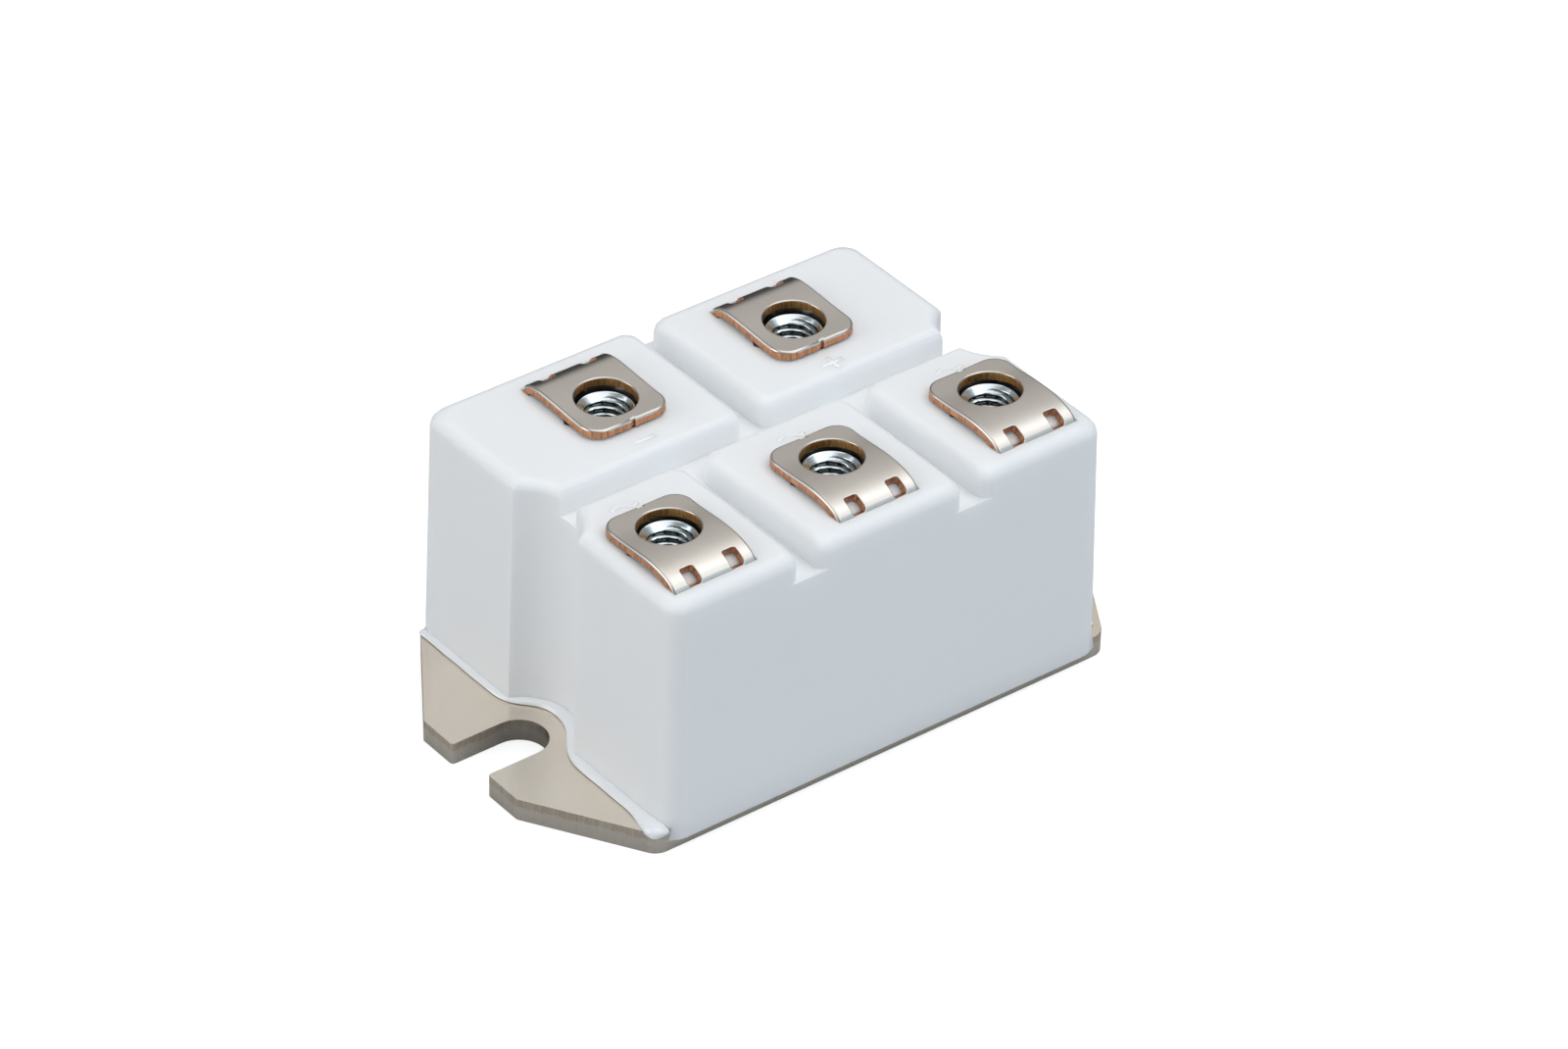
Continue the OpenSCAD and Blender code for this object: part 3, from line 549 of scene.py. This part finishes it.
# %% Piece helper
def keep_piece(name, bm, finishes, replaced, sharp=40, weighted=True):
    """Makes a bmesh a piece of the part, in place of the CAD nodes that it replaces."""
    for face in bm.faces:
        face.smooth = True
    for edge in bm.edges:
        edge.smooth = edge.is_manifold and edge.calc_face_angle(0) < math.radians(sharp)
    mesh = bpy.data.meshes.new(name)
    bm.to_mesh(mesh)
    bm.free()
    for finish in finishes:
        mesh.materials.append(finish)
    piece = bpy.data.objects.new(name, mesh)
    bpy.context.scene.collection.objects.link(piece)
    if weighted:
        piece.modifiers.new("even_flats", "WEIGHTED_NORMAL").keep_sharp = True
    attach(piece, "root")
    if replaced:
        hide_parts(*replaced)
    print(name, "has", len(mesh.polygons), "faces")


def copy_node(name):
    """A CAD node's mesh with its loose triangles joined."""
    bm = bmesh.new()
    bm.from_mesh(cad_nodes[name].data)
    bmesh.ops.remove_doubles(bm, verts=bm.verts, dist=1e-6)
    for face in bm.faces:
        face.material_index = 0
    return bm


# %% [markdown]
# ## Housing
# The CAD housing already has the right form: leaning walls, five blocks with rolled edges, grooves and
# screw channels. Its roundings are short flat steps, so a copy with joined triangles and smooth normals
# is enough to make them flow. Three small moves of points follow the picture more closely: the slots
# close up to the strips that pass through them, the lower rim of the skirts rises a little, and the ends
# of the skirts reach round the plate's corners. The upright corners of the channels are sharp in the
# CAD, and a bevel of a few steps rounds them as the mould does.

# %% Moulded housing
flat_enough = math.radians(0.2)
housing_bm = copy_node("housing")
bmesh.ops.dissolve_limit(
    housing_bm, angle_limit=flat_enough, verts=housing_bm.verts, edges=housing_bm.edges
)


def on_channel_edge(edge):
    """Whether an edge is one of the upright corners where a screw channel meets the end wall."""
    middle = (edge.verts[0].co + edge.verts[1].co) / 2 / MM
    run = edge.verts[1].co - edge.verts[0].co
    upright = abs(run.z) > 0.8 * run.length
    on_end_wall = abs(middle.x) > end_wall_from and middle.z < block_edge_from
    beside = abs(abs(middle.y) - channel_mouth) < 0.25
    return upright and on_end_wall and beside and edge.calc_face_angle(0) > math.radians(40)


def near(value, target, margin):
    """Whether a length in metres is a target in mm, on either side of the middle."""
    return abs(abs(value) - target * MM) < margin * MM


end_wall_from, block_edge_from, channel_mouth = 26.3, 28.3, 5.45
strip_middles = (-20.2, -0.2, 19.8, -11.8, 11.8)
slot_reach, strip_reach, slots_from = 5.25, 4.98, 15
skirt_end_x, skirt_inside_y, skirt_end_top = 26.56, 20.7, 2.6
low_end_x, high_end_x, plate_side_y = 27.05, 26.8, 20.6
skirt_rim, raised_rim = 1.05, 1.2
for vert in housing_bm.verts:
    for middle in strip_middles:
        offset = vert.co.x - middle * MM
        if vert.co.z > slots_from * MM and near(offset, slot_reach, 0.004):
            vert.co.x = (middle + math.copysign(strip_reach, offset)) * MM
    at_skirt_end = near(vert.co.x, skirt_end_x, 0.01) and near(vert.co.y, skirt_inside_y, 0.01)
    if at_skirt_end and vert.co.z < skirt_end_top * MM:
        reach = low_end_x if vert.co.z < 2 * MM else high_end_x
        vert.co.x = math.copysign(reach, vert.co.x) * MM
        vert.co.y = math.copysign(plate_side_y, vert.co.y) * MM
    if vert.co.z < skirt_rim * MM:
        vert.co.z = raised_rim * MM
channel_edges = [e for e in housing_bm.edges if on_channel_edge(e)]
bmesh.ops.bevel(
    housing_bm,
    geom=channel_edges,
    offset=0.35 * MM,
    segments=4,
    profile=0.5,
    affect="EDGES",
    material=-1,
    clamp_overlap=True,
)
print("rounded channel edges:", len(channel_edges))
keep_piece("moulded_housing", housing_bm, [white_plastic], ["housing"], sharp=34)

# %% [markdown]
# ## Baseplate
# The plate is cut from strip, and its edges are slightly rolled by the press. A copy of the CAD plate
# first has the upright corners of its ears rounded, as the picture shows them. Then a small bevel goes
# around its upper outline. The walls and that bevel take the sheared finish, by the direction that each
# face looks, so the rim shows as a fine line.


# %% Slotted plate
def is_ear_corner(edge):
    """Whether an edge is an upright corner at the tip of an ear."""
    run = edge.verts[1].co - edge.verts[0].co
    at_tip = min(abs(v.co.x) for v in edge.verts) > ear_tips_from
    return at_tip and abs(run.z) > 0.9 * run.length and edge.calc_face_angle(0) > math.radians(20)


ear_tips_from, ear_corner_cut, rim_cut = 30 * MM, 0.4 * MM, 0.05 * MM
plate_bm = copy_node("baseplate")
bmesh.ops.dissolve_limit(plate_bm, angle_limit=flat_enough, verts=plate_bm.verts, edges=plate_bm.edges)
ear_corners = [e for e in plate_bm.edges if is_ear_corner(e)]
bmesh.ops.bevel(
    plate_bm,
    geom=ear_corners,
    offset=ear_corner_cut,
    segments=4,
    profile=0.5,
    affect="EDGES",
    material=-1,
    clamp_overlap=False,
)
print("rounded ear corners:", len(ear_corners))
upper = [e for e in plate_bm.edges if min(v.co.z for v in e.verts) > 2.4 * MM]
bmesh.ops.bevel(
    plate_bm,
    geom=[e for e in upper if e.calc_face_angle(0) > 1],
    offset=rim_cut,
    segments=2,
    profile=0.5,
    affect="EDGES",
    material=-1,
    clamp_overlap=True,
)
for face in plate_bm.faces:
    face.material_index = 1 if abs(face.normal.z) < 0.95 else 0
plate_finishes = [nickel_plate, sheared_plate]
keep_piece("slotted_plate", plate_bm, plate_finishes, ["baseplate"], sharp=50)

# %% [markdown]
# ## Terminal tabs
# A tab is made as a press makes it: punch a flat blank, roll its edges, then bend it. The blank is an
# outline of a few corners with a screw hole, two windows and a square notch. Filling between these loops
# gives a face with holes, and extruding it gives the strip's thickness. Bending is a move of points along
# a path, so the blank is first sliced across wherever the path turns.


# %% Path of a strip
def strip_path(reach, bend_run, bend_drop):
    """Middle line of a strip as points (outwards from the hole, height), from its free end to its foot."""
    leg = reach - strip_thickness / 2
    run = bend_run - strip_thickness / 2
    drop = bend_drop - strip_thickness / 2
    start = rise_start - end_margin
    rise_run = leg - run - start
    crest = tab_middle + arch_rise
    foot_middle = track_top + strip_thickness / 2
    shares = [k / turn_steps for k in range(turn_steps + 1)]
    quarter = [(1 - math.sin(k * math.pi / 2), 1 - math.cos(k * math.pi / 2)) for k in shares]
    path = [(-end_margin, tab_middle)]
    path += [(start + rise_run * k, tab_middle + arch_rise * (1 - math.cos(math.pi * k)) / 2) for k in shares]
    path += [(leg - run * to_go, crest - drop * fallen) for to_go, fallen in quarter[1:]]
    path += [(leg - foot_bend * gone_in, foot_middle + foot_bend * above) for above, gone_in in quarter]
    path.append((path[-1][0] - foot_length, path[-1][1]))
    return [Vector(point) * MM for point in path]


def step_lengths(path):
    """Length of each step of a path, in mm."""
    return [(b - a).length / MM for a, b in zip(path, path[1:])]


turn_steps = 40
strip_thickness, tab_middle, end_margin = 0.95, 29.825, 4.65
rise_start, arch_rise = 2.2, 0.25
foot_bend, foot_length, track_top = 1.2, 3.2, 3.73
front_path = strip_path(7.9, 4.9, 2.0)
rear_path = strip_path(7.4, 2.9, 1.6)
print("strip lengths in mm:", [round(sum(step_lengths(path)), 2) for path in (front_path, rear_path)])


# %% Punch the blank
def rounded_loop(bm, corners, radii):
    """Draws a closed outline whose corners are rounded, each by its own radius, and leaves its edges."""
    face = bm.faces.new([bm.verts.new((x * MM, y * MM, 0)) for x, y in corners])
    for vert, radius in zip(list(face.verts), radii):
        if radius:
            bmesh.ops.bevel(
                bm,
                geom=[vert],
                offset=radius * MM,
                offset_type="OFFSET",
                segments=8,
                profile=0.5,
                affect="VERTICES",
                material=-1,
            )
    bmesh.ops.delete(bm, geom=bm.faces[:], context="FACES_ONLY")


def punch_blank(shift, leg_shift, shoulder, end, window_at):
    """Flat strip with its hole, windows and notch: X across, Y along from the hole, Z through."""
    bm = bmesh.new()
    left, right = shift - tab_width / 2, shift + tab_width / 2
    tip = -end_margin
    rounded_loop(
        bm,
        [
            (left, tip),
            (shift - notch, tip),
            (shift - notch, tip + notch),
            (shift + notch, tip + notch),
            (shift + notch, tip),
            (right, tip),
            (right, shoulder),
            (leg_shift + leg_width / 2, shoulder),
            (leg_shift + leg_width / 2, end),
            (leg_shift - leg_width / 2, end),
            (leg_shift - leg_width / 2, shoulder),
            (left, shoulder),
        ],
        [end_radius, 0, 0, 0, 0, end_radius, 0, 0, 0, 0, 0, 0],
    )
    near_end, far_end = window_at - window_length / 2, window_at + window_length / 2
    for side in (-1, 1):
        west = side * window_pitch / 2 - window_width / 2
        east = side * window_pitch / 2 + window_width / 2
        window = [(west, near_end), (east, near_end), (east, far_end), (west, far_end)]
        rounded_loop(bm, window, [window_radius] * 4)
    bmesh.ops.create_circle(bm, cap_ends=False, radius=tab_hole / 2 * MM, segments=72)
    bmesh.ops.triangle_fill(bm, use_beauty=True, use_dissolve=False, edges=bm.edges, normal=(0, 0, 1))
    bmesh.ops.dissolve_limit(bm, angle_limit=0.01, verts=bm.verts, edges=bm.edges)
    return bm


tab_width, end_radius, notch, tab_hole = 9.9, 2.0, 0.22, 6.4
window_width, window_length, window_pitch, window_radius = 1.6, 1.8, 5.1, 0.35
leg_width = 5.0
trial = punch_blank(0.2, -1.7, 17, 38, 8)
print("blank:", len(trial.faces), "faces,", len(trial.verts), "corners")
trial.free()


# %% Thicken, roll the edges and bend
def bend_along(bm, path):
    """Slices the blank where the path turns, then lays it along the path."""
    stops = [0.0]
    for a, b in zip(path, path[1:]):
        stops.append(stops[-1] + (b - a).length)
    stops = [s - end_margin * MM for s in stops]
    for stop in stops[1:-1]:
        everything = bm.verts[:] + bm.edges[:] + bm.faces[:]
        bmesh.ops.bisect_plane(bm, geom=everything, dist=1e-7, plane_co=(0, stop, 0), plane_no=(0, 1, 0))
    blank = bm.verts.layers.float_vector.new("blank")
    for vert in bm.verts:
        vert[blank] = vert.co
        along, up = vert.co.y, vert.co.z
        k = 0
        while k < len(stops) - 2 and stops[k + 1] < along:
            k += 1
        run = path[k + 1] - path[k]
        ahead = run.normalized()
        before = (path[k] - path[k - 1]).normalized() if k else ahead
        after = (path[k + 2] - path[k + 1]).normalized() if k + 2 < len(path) else ahead
        part = (along - stops[k]) / run.length
        turn = ((before + ahead).normalized().lerp((ahead + after).normalized(), part)).normalized()
        point = path[k] + run * part + up * Vector((-turn.y, turn.x))
        vert.co = (vert.co.x, point.x, point.y)


def is_upper_rim(edge):
    """Whether an edge of the flat strip lies between its upper face and a cut wall."""
    return edge.calc_face_angle(0) > 1 and all(v.co.z > 0.4 * MM * strip_thickness for v in edge.verts)


def rim_region(edge, window_at):
    """Which cut an edge of the flat strip belongs to."""
    middle = (edge.verts[0].co + edge.verts[1].co) / 2 / MM
    if middle.to_2d().length < tab_hole / 2 + 0.1:
        return "hole"
    in_window = abs(abs(middle.x) - window_pitch / 2) < window_width / 2 + 0.05
    return "window" if in_window and abs(middle.y - window_at) < window_length / 2 + 0.05 else "outline"


def roll_rims(bm, rims, roll):
    """Rounds rims as the punch drew them down, by a radius in mm."""
    bmesh.ops.bevel(
        bm,
        geom=rims,
        offset=roll * MM,
        segments=5,
        profile=0.5,
        affect="EDGES",
        material=-1,
        clamp_overlap=False,
    )


def make_tab(name, hole, path, front, leg_shift, node):
    """One bent terminal at its hole."""
    lengths = step_lengths(path)
    bend_start, bend_end = turn_steps + 1, 2 * turn_steps + 1
    to_leg = sum(lengths[:bend_end]) - end_margin
    window_step = bend_start + round(turn_steps * window_turn)
    window_at = sum(lengths[:window_step]) - end_margin
    shoulder = to_leg + path[bend_end].y / MM - shoulder_height
    end = sum(lengths) - end_margin
    shift = front_shift if front else 0.0
    bm = punch_blank(shift, leg_shift, shoulder, end, window_at)
    bmesh.ops.translate(bm, verts=bm.verts, vec=(0, 0, -strip_thickness / 2 * MM))
    grown = bmesh.ops.extrude_face_region(bm, geom=bm.faces[:])["geom"]
    bmesh.ops.translate(
        bm, verts=[g for g in grown if isinstance(g, bmesh.types.BMVert)], vec=(0, 0, strip_thickness * MM)
    )
    bmesh.ops.recalc_face_normals(bm, faces=bm.faces)
    for region, roll in rim_rolls.items():
        upper = [e for e in bm.edges if is_upper_rim(e)]
        roll_rims(bm, [e for e in upper if rim_region(e, window_at) == region], roll)
    flats = [face for face in bm.faces if face.normal.z > 0.99]
    # A narrow border of faces beside the rolled rims keeps the shading of the flats level.
    bmesh.ops.inset_region(bm, faces=flats, thickness=0.04 * MM, use_boundary=True, use_even_offset=True)
    for face in bm.faces:
        in_hole = face.calc_center_median().to_2d().length < (tab_hole / 2 + 0.1) * MM
        face.material_index = 0 if abs(face.normal.z) > 0.2 else 2 if in_hole else 1
    bend_along(bm, path)
    turn = Matrix.Rotation(math.pi if front else 0, 4, "Z")
    bmesh.ops.transform(bm, matrix=Matrix.Translation(Vector(hole) * MM) @ turn, verts=bm.verts)
    finishes = [strip_nickel, punched_copper, hole_bronze]
    keep_piece(name, bm, finishes, [node], sharp=50, weighted=False)


front_y, rear_y, front_shift = -10.9, 10.45, 0.2
window_turn, shoulder_height = 56 / 90, 22.0
rim_rolls = {"outline": 0.28, "hole": 0.16, "window": 0.09}
make_tab("tab_ac_1", (-20, front_y, 0), front_path, True, -1.7, "terminal_ac_1")
make_tab("tab_ac_2", (0, front_y, 0), front_path, True, 0.0, "terminal_ac_2")
make_tab("tab_ac_3", (20, front_y, 0), front_path, True, 1.7, "terminal_ac_3")
make_tab("tab_minus", (-11.8, rear_y, 0), rear_path, False, 0.0, "terminal_minus")
make_tab("tab_plus", (11.8, rear_y, 0), rear_path, False, 0.0, "terminal_plus")

# %% [markdown]
# ## Captive nuts
# A zinc nut sits in a pocket under each tab, and its countersunk thread shows through the hole. The nut
# grows from one ring of points: each step extrudes the ring and gives its points new places, first up the
# flats and over the chamfer, then in to the countersink and down the bore. In the bore the radius follows
# a screw line, the larger of the thread's profile and the countersink's cone, so the thread runs out in
# the cone as a cut thread does. A spin with a rise would also make a thread, but not this run-out.


# %% Grow a ring
def grow_ring(bm, ring, place):
    """Extrudes a closed ring of edges and puts each new point where place says."""
    grown = bmesh.ops.extrude_edge_only(bm, edges=ring)["geom"]
    verts = [g for g in grown if isinstance(g, bmesh.types.BMVert)]
    for vert in verts:
        vert.co = place(vert)
    fresh = set(verts)
    return [g for g in grown if isinstance(g, bmesh.types.BMEdge) and set(g.verts) <= fresh]


def thread_at(angle, depth):
    """Radius in mm of the threaded, countersunk bore, and how deep in the thread that is, from 0 to 1."""
    phase = (depth / thread_pitch + angle / math.tau) % 1
    groove = min(1.0, max(0.0, groove_width - flank_slope * abs(phase - 0.5)))
    thread = thread_crest + (thread_root - thread_crest) * groove
    cone = countersink_radius - min(depth, nut_height - depth)
    return (thread, groove) if thread > cone else (cone, 0.0)


nut_width, nut_height, nut_top, nut_chamfer = 8.6, 4.0, 29.05, 0.5
thread_pitch, thread_crest, thread_root, countersink_radius = 0.8, 2.1, 2.52, 2.9
groove_width, flank_slope = 1.5, 3.2
print("thread turns in a nut:", nut_height / thread_pitch)


# %% Threaded nuts
def make_nut():
    """One nut about the Z axis, its top at the height of the real one."""
    bm = bmesh.new()
    root = bm.verts.layers.float.new("root")
    corner_reach = nut_width / 2 / math.cos(math.pi / 6)
    bmesh.ops.create_circle(bm, cap_ends=False, radius=corner_reach * MM, segments=6)
    bmesh.ops.subdivide_edges(bm, edges=bm.edges, cuts=11)
    bottom = nut_top - nut_height
    bmesh.ops.translate(bm, verts=bm.verts, vec=(0, 0, (bottom + nut_chamfer) * MM))
    start = bm.edges[:]

    def round_to(radius, z):
        return lambda vert: vert.co.to_2d().normalized().to_3d() * radius * MM + Vector((0, 0, z * MM))

    def bore_at(depth):
        def place(vert):
            angle = math.atan2(vert.co.y, vert.co.x)
            radius, vert[root] = thread_at(angle, depth)
            return Vector((radius * math.cos(angle), radius * math.sin(angle), nut_top - depth)) * MM

        return place

    ring = grow_ring(bm, start, lambda vert: Vector((vert.co.x, vert.co.y, (nut_top - nut_chamfer) * MM)))
    ring = grow_ring(bm, ring, round_to(nut_width / 2, nut_top))
    ring = grow_ring(bm, ring, round_to(countersink_radius + 0.05, nut_top))
    # Painted shade: the flat ring at the top of the nut is fully darkened, as the shadowed gap under the tab.
    for vert in {v for edge in ring for v in edge.verts}:
        vert[root] = 1.0
    steps = 64
    for step in range(steps + 1):
        ring = grow_ring(bm, ring, bore_at(nut_height * step / steps))
    ring = grow_ring(bm, ring, round_to(nut_width / 2, bottom))
    bmesh.ops.bridge_loops(bm, edges=ring + start)
    bmesh.ops.recalc_face_normals(bm, faces=bm.faces)
    return bm


holes = [(-20, front_y), (0, front_y), (20, front_y), (-11.8, rear_y), (11.8, rear_y)]
one_nut = make_nut()
nut_mesh = bpy.data.meshes.new("one_nut")
one_nut.to_mesh(nut_mesh)
one_nut.free()
nuts_bm = bmesh.new()
for x, y in holes:
    before = len(nuts_bm.verts)
    nuts_bm.from_mesh(nut_mesh)
    nuts_bm.verts.ensure_lookup_table()
    bmesh.ops.translate(nuts_bm, verts=nuts_bm.verts[before:], vec=(x * MM, y * MM, 0))
bpy.data.meshes.remove(nut_mesh)
keep_piece("threaded_nuts", nuts_bm, [zinc], ["terminal_nuts"], sharp=48)

# %% [markdown]
# ## Sealing beads
# Where the housing's ends meet the plate, a bead of silicone closes the joint. It follows the wall into
# the half-round channel, but its free edge takes softer curves than the wall, because it was fluid. So
# two lines are drawn: the wall's foot with its corners, and an edge line at a distance that is then
# relaxed. Between the two lies a round back. At the front left corner the needle was lifted late, so
# there the bead swells into a drop that hangs over the plate's corner. A curve with a round bevel
# would make a tube too, but one ring grown from station to station can swell, lean and flatten.


# %% Lines of a bead
def wall_foot(front_end, corner_turn):
    """Points along the foot of the left wall, from rear to front, each with the way out from the wall."""
    steps = [k / 60 for k in range(61)]
    opening = math.atan2(channel_edge, slot_middle - wall_x)
    out = Vector((-1, 0))
    line = [(Vector((-wall_x, rear_end + (channel_edge - rear_end) * k)), out) for k in steps]
    for k in steps:
        turn = opening * (1 - 2 * k)
        outward = Vector((math.cos(turn), math.sin(turn)))
        line.append((Vector((-slot_middle, 0)) + channel_radius * outward, -outward))
    line += [(Vector((-wall_x, -channel_edge + (channel_edge - front_end) * k)), out) for k in steps]
    if corner_turn:
        middle = Vector((corner_radius - wall_x, -front_end))
        for k in steps[1:]:
            outward = -Vector((math.cos(corner_turn * k), math.sin(corner_turn * k)))
            line.append((middle + corner_radius * outward, outward))
    return line


def relax(points, passes):
    """Evens out a line of points, its ends held."""
    for _ in range(passes):
        inner = [(a + 2 * b + c) / 4 for a, b, c in zip(points, points[1:], points[2:])]
        points = [points[0], *inner, points[-1]]
    return points


def ease(value, low, high):
    """0 at low, 1 at high, and a smooth run between them."""
    part = min(1.0, max(0.0, (value - low) / (high - low)))
    return part * part * (3 - 2 * part)


wall_x, channel_radius, channel_edge = 27.25, 6.2, 5.557
rear_end, straight_end, corner_radius, drop_turn = 20.2, 19.2, 2.0, math.radians(44)
print("wall foot:", len(wall_foot(straight_end, drop_turn)), "stations")


# %% Swept bead
def make_bead(corner_turn, swell):
    """The bead along the left end: its front end swells into a drop by a share between 0 and 1."""
    foot = wall_foot(straight_end, corner_turn)
    gone = [0.0]
    for (a, _), (b, _) in zip(foot, foot[1:]):
        gone.append(gone[-1] + (b - a).length)
    left = [gone[-1] - at for at in gone]
    drop = [swell * ease(rest, 4.4, 1.6) * (1 - 0.5 * ease(rest, 1.0, 0.0)) for rest in left]
    edge = []
    for (at, away), fat, rest in zip(foot, drop, left):
        wider_in_front = 0.34 * ease(at.y, 3, -4)
        wider_in_channel = 0.30 * max(0.0, 1 - ((at.y + 2) / 4) ** 2)
        narrower_at_end = 0.55 * swell * ease(rest, 1.0, 0.0)
        width = bead_width + wider_in_front + wider_in_channel + drop_width * fat - narrower_at_end
        by_hand = 0.05 * math.sin(1.3 * at.y) + 0.04 * math.sin(2.9 * at.y + 1)
        edge.append(at + away * (width + by_hand * (1 - fat)))
    edge = relax(edge, 50)

    def ring_at(station):
        """Points around the bead: an ellipse, nearly flat where it lies on the wall and the plate."""
        at, fat = foot[station][0], drop[station]
        across = edge[station] - at
        close = max(0.0, 1 - left[station] / (0.5 + 0.25 * swell), 1 - gone[station] / 0.5)
        scale = max(0.06, math.sqrt(max(0.0, 1 - close * close)))
        taller_in_channel = 0.14 * max(0.0, 1 - ((at.y - 1) / 4.5) ** 2)
        tall = bead_height + taller_in_channel + drop_height * fat
        sunk_at_end = 0.25 * swell * ease(left[station], 1.2, 0.0)
        middle = bead_middle - drop_sag * fat - sunk_at_end
        ring = []
        for k in range(ring_points):
            turn = math.tau * k / ring_points
            out = 0.5 + 0.55 * math.cos(turn) * scale
            on_wall_side = math.pi / 2 < turn < 1.01 * math.pi
            lift = 0.8 + 0.2 * math.sin(turn) if on_wall_side else math.sin(turn)
            up = middle + tall * lift * scale
            # Painted shade: points low on the bead, near the plate, get the darkening; the drop does not.
            contact_shade = (1 - fat) * ease(up, 0.13, 0.02)
            # What would lie in the wall or the plate is pressed flat, except under the hanging drop.
            out = out if out > 0 else 0.1 * out
            up = up if up > 0 else (0.05 + 0.95 * fat) * up
            point = (at + across * out).to_3d() + Vector((0, 0, plate_top + up))
            ring.append((point * MM, contact_shade))
        return ring

    bm = bmesh.new()
    spot = bm.verts.layers.int.new("spot")
    contact = bm.verts.layers.float.new("contact")
    target = ring_at(0)

    def to_target(vert):
        point, vert[contact] = target[vert[spot]]
        return point

    first = bmesh.ops.create_circle(bm, cap_ends=True, radius=1, segments=ring_points)["verts"]
    for k, vert in enumerate(first):
        vert[spot] = k
        vert.co = to_target(vert)
    ring = bm.edges[:]
    for station in range(1, len(foot)):
        target = ring_at(station)
        ring = grow_ring(bm, ring, to_target)
    bmesh.ops.contextual_create(bm, geom=ring)
    bmesh.ops.recalc_face_normals(bm, faces=bm.faces)
    return bm


plate_top, ring_points = 2.5, 24
bead_width, bead_height, bead_middle = 0.74, 0.27, 0.19
drop_width, drop_height, drop_sag = 0.62, 0.48, 0.26
left_bm = make_bead(drop_turn, 1.0)
keep_piece("bead_left", left_bm, [silicone], ["sealing_bead_left"], sharp=180)
right_bm = make_bead(0.0, 0.0)
bmesh.ops.scale(right_bm, vec=(-1, 1, 1), verts=right_bm.verts)
bmesh.ops.recalc_face_normals(right_bm, faces=right_bm.faces)
keep_piece("bead_right", right_bm, [silicone], ["sealing_bead_right"], sharp=180)

# %% [markdown]
# ## Pole signs
# Small raised strokes on the block tops say which terminal is which: a minus, a plus, and a wave for each of
# the three alternating phases. They are moulded with the housing, but the cutter that sank them into the
# mould left them smoother than its blasted walls, so they shine a little. Their tint is whiter than the
# housing's, a painted highlight that makes them read brighter. Each stroke is a short tube laid along a line
# of points, pressed flat and half sunk into the top.

# %% Smooth plastic of the signs
sign_plastic, tree, shader = new_material("sign_plastic", Coat_Weight=0.6, Coat_Roughness=0.15)
place = object_place(tree)
cutter = use_group(tree, clouds, {"Vector": place, "Scale": 1500, "Low": 0.22, "High": 0.34})
drift = use_group(tree, clouds, {"Vector": place, "Scale": 600, "Low": 0.0, "High": 1.0})
# Painted highlight: the tint is whiter than the housing's plastic, so the strokes read brighter.
highlight_sign_tint = mix_colours(tree, drift.outputs[0], (0.985, 0.99, 0.995, 1), (0.995, 1.0, 1.0, 1))
tree.links.new(highlight_sign_tint, shader.inputs["Base Color"])
tree.links.new(cutter.outputs[0], shader.inputs["Roughness"])
print("sign plastic:", len(tree.nodes), "nodes")


# %% Strokes
def lay_stroke(bm, points, width):
    """A round-ended tube along points, in mm."""
    heads = [Vector(p) for p in points]
    rounding = [0.25] + [1.0] * (len(heads) - 2) + [0.25]
    made = bmesh.ops.create_circle(bm, cap_ends=True, radius=width / 2 * MM, segments=12)["verts"]
    aim = (heads[1] - heads[0]).normalized().to_track_quat("Z", "Y").to_matrix().to_4x4()
    start = Matrix.Translation(heads[0] * MM) @ aim @ Matrix.Scale(rounding[0], 4)
    bmesh.ops.transform(bm, matrix=start, verts=made)
    ring = [e for e in bm.edges if e.verts[0] in made and e.verts[1] in made]
    for k in range(1, len(heads)):
        step = (heads[k] - heads[k - 1]) * MM
        size, middle = rounding[k] / rounding[k - 1], heads[k] * MM
        ring = grow_ring(bm, ring, lambda vert: middle + (vert.co + step - middle) * size)
    bmesh.ops.contextual_create(bm, geom=ring)


def sign_line(x, y, dx, dy, length):
    """Points of a straight stroke about a middle, with short ends that round it."""
    at = [-0.5, -0.46, 0, 0.46, 0.5]
    return [(x + dx * length * k, y + dy * length * k, 0) for k in at]


def wave_line(x, y):
    """Points of one full wave about a middle."""
    shares = [k / 24 for k in range(25)]
    return [(x + wave_length * (k - 0.5), y + wave_swing * math.sin(k * math.tau), 0) for k in shares]


block_top, pressed_flat = 29.1, 0.55
wave_length, wave_swing, wave_y = 3.0, 0.4, -4.35
minus_place, plus_place = (-11.9, 3.75), (11.4, 3.5)
signs_bm = bmesh.new()
lay_stroke(signs_bm, sign_line(*minus_place, 1, 0, 2.5), 0.48)
lay_stroke(signs_bm, sign_line(*plus_place, 1, 0, 2.7), 0.48)
lay_stroke(signs_bm, sign_line(*plus_place, 0, 1, 2.3), 0.44)
for x in (-20.5, 0.0, 20.1):
    lay_stroke(signs_bm, wave_line(x, wave_y), 0.46)
bmesh.ops.scale(signs_bm, vec=(1, 1, pressed_flat), verts=signs_bm.verts)
bmesh.ops.translate(signs_bm, vec=(0, 0, block_top * MM), verts=signs_bm.verts)
bmesh.ops.recalc_face_normals(signs_bm, faces=signs_bm.faces)
keep_piece("pole_signs", signs_bm, [sign_plastic], [], sharp=60)
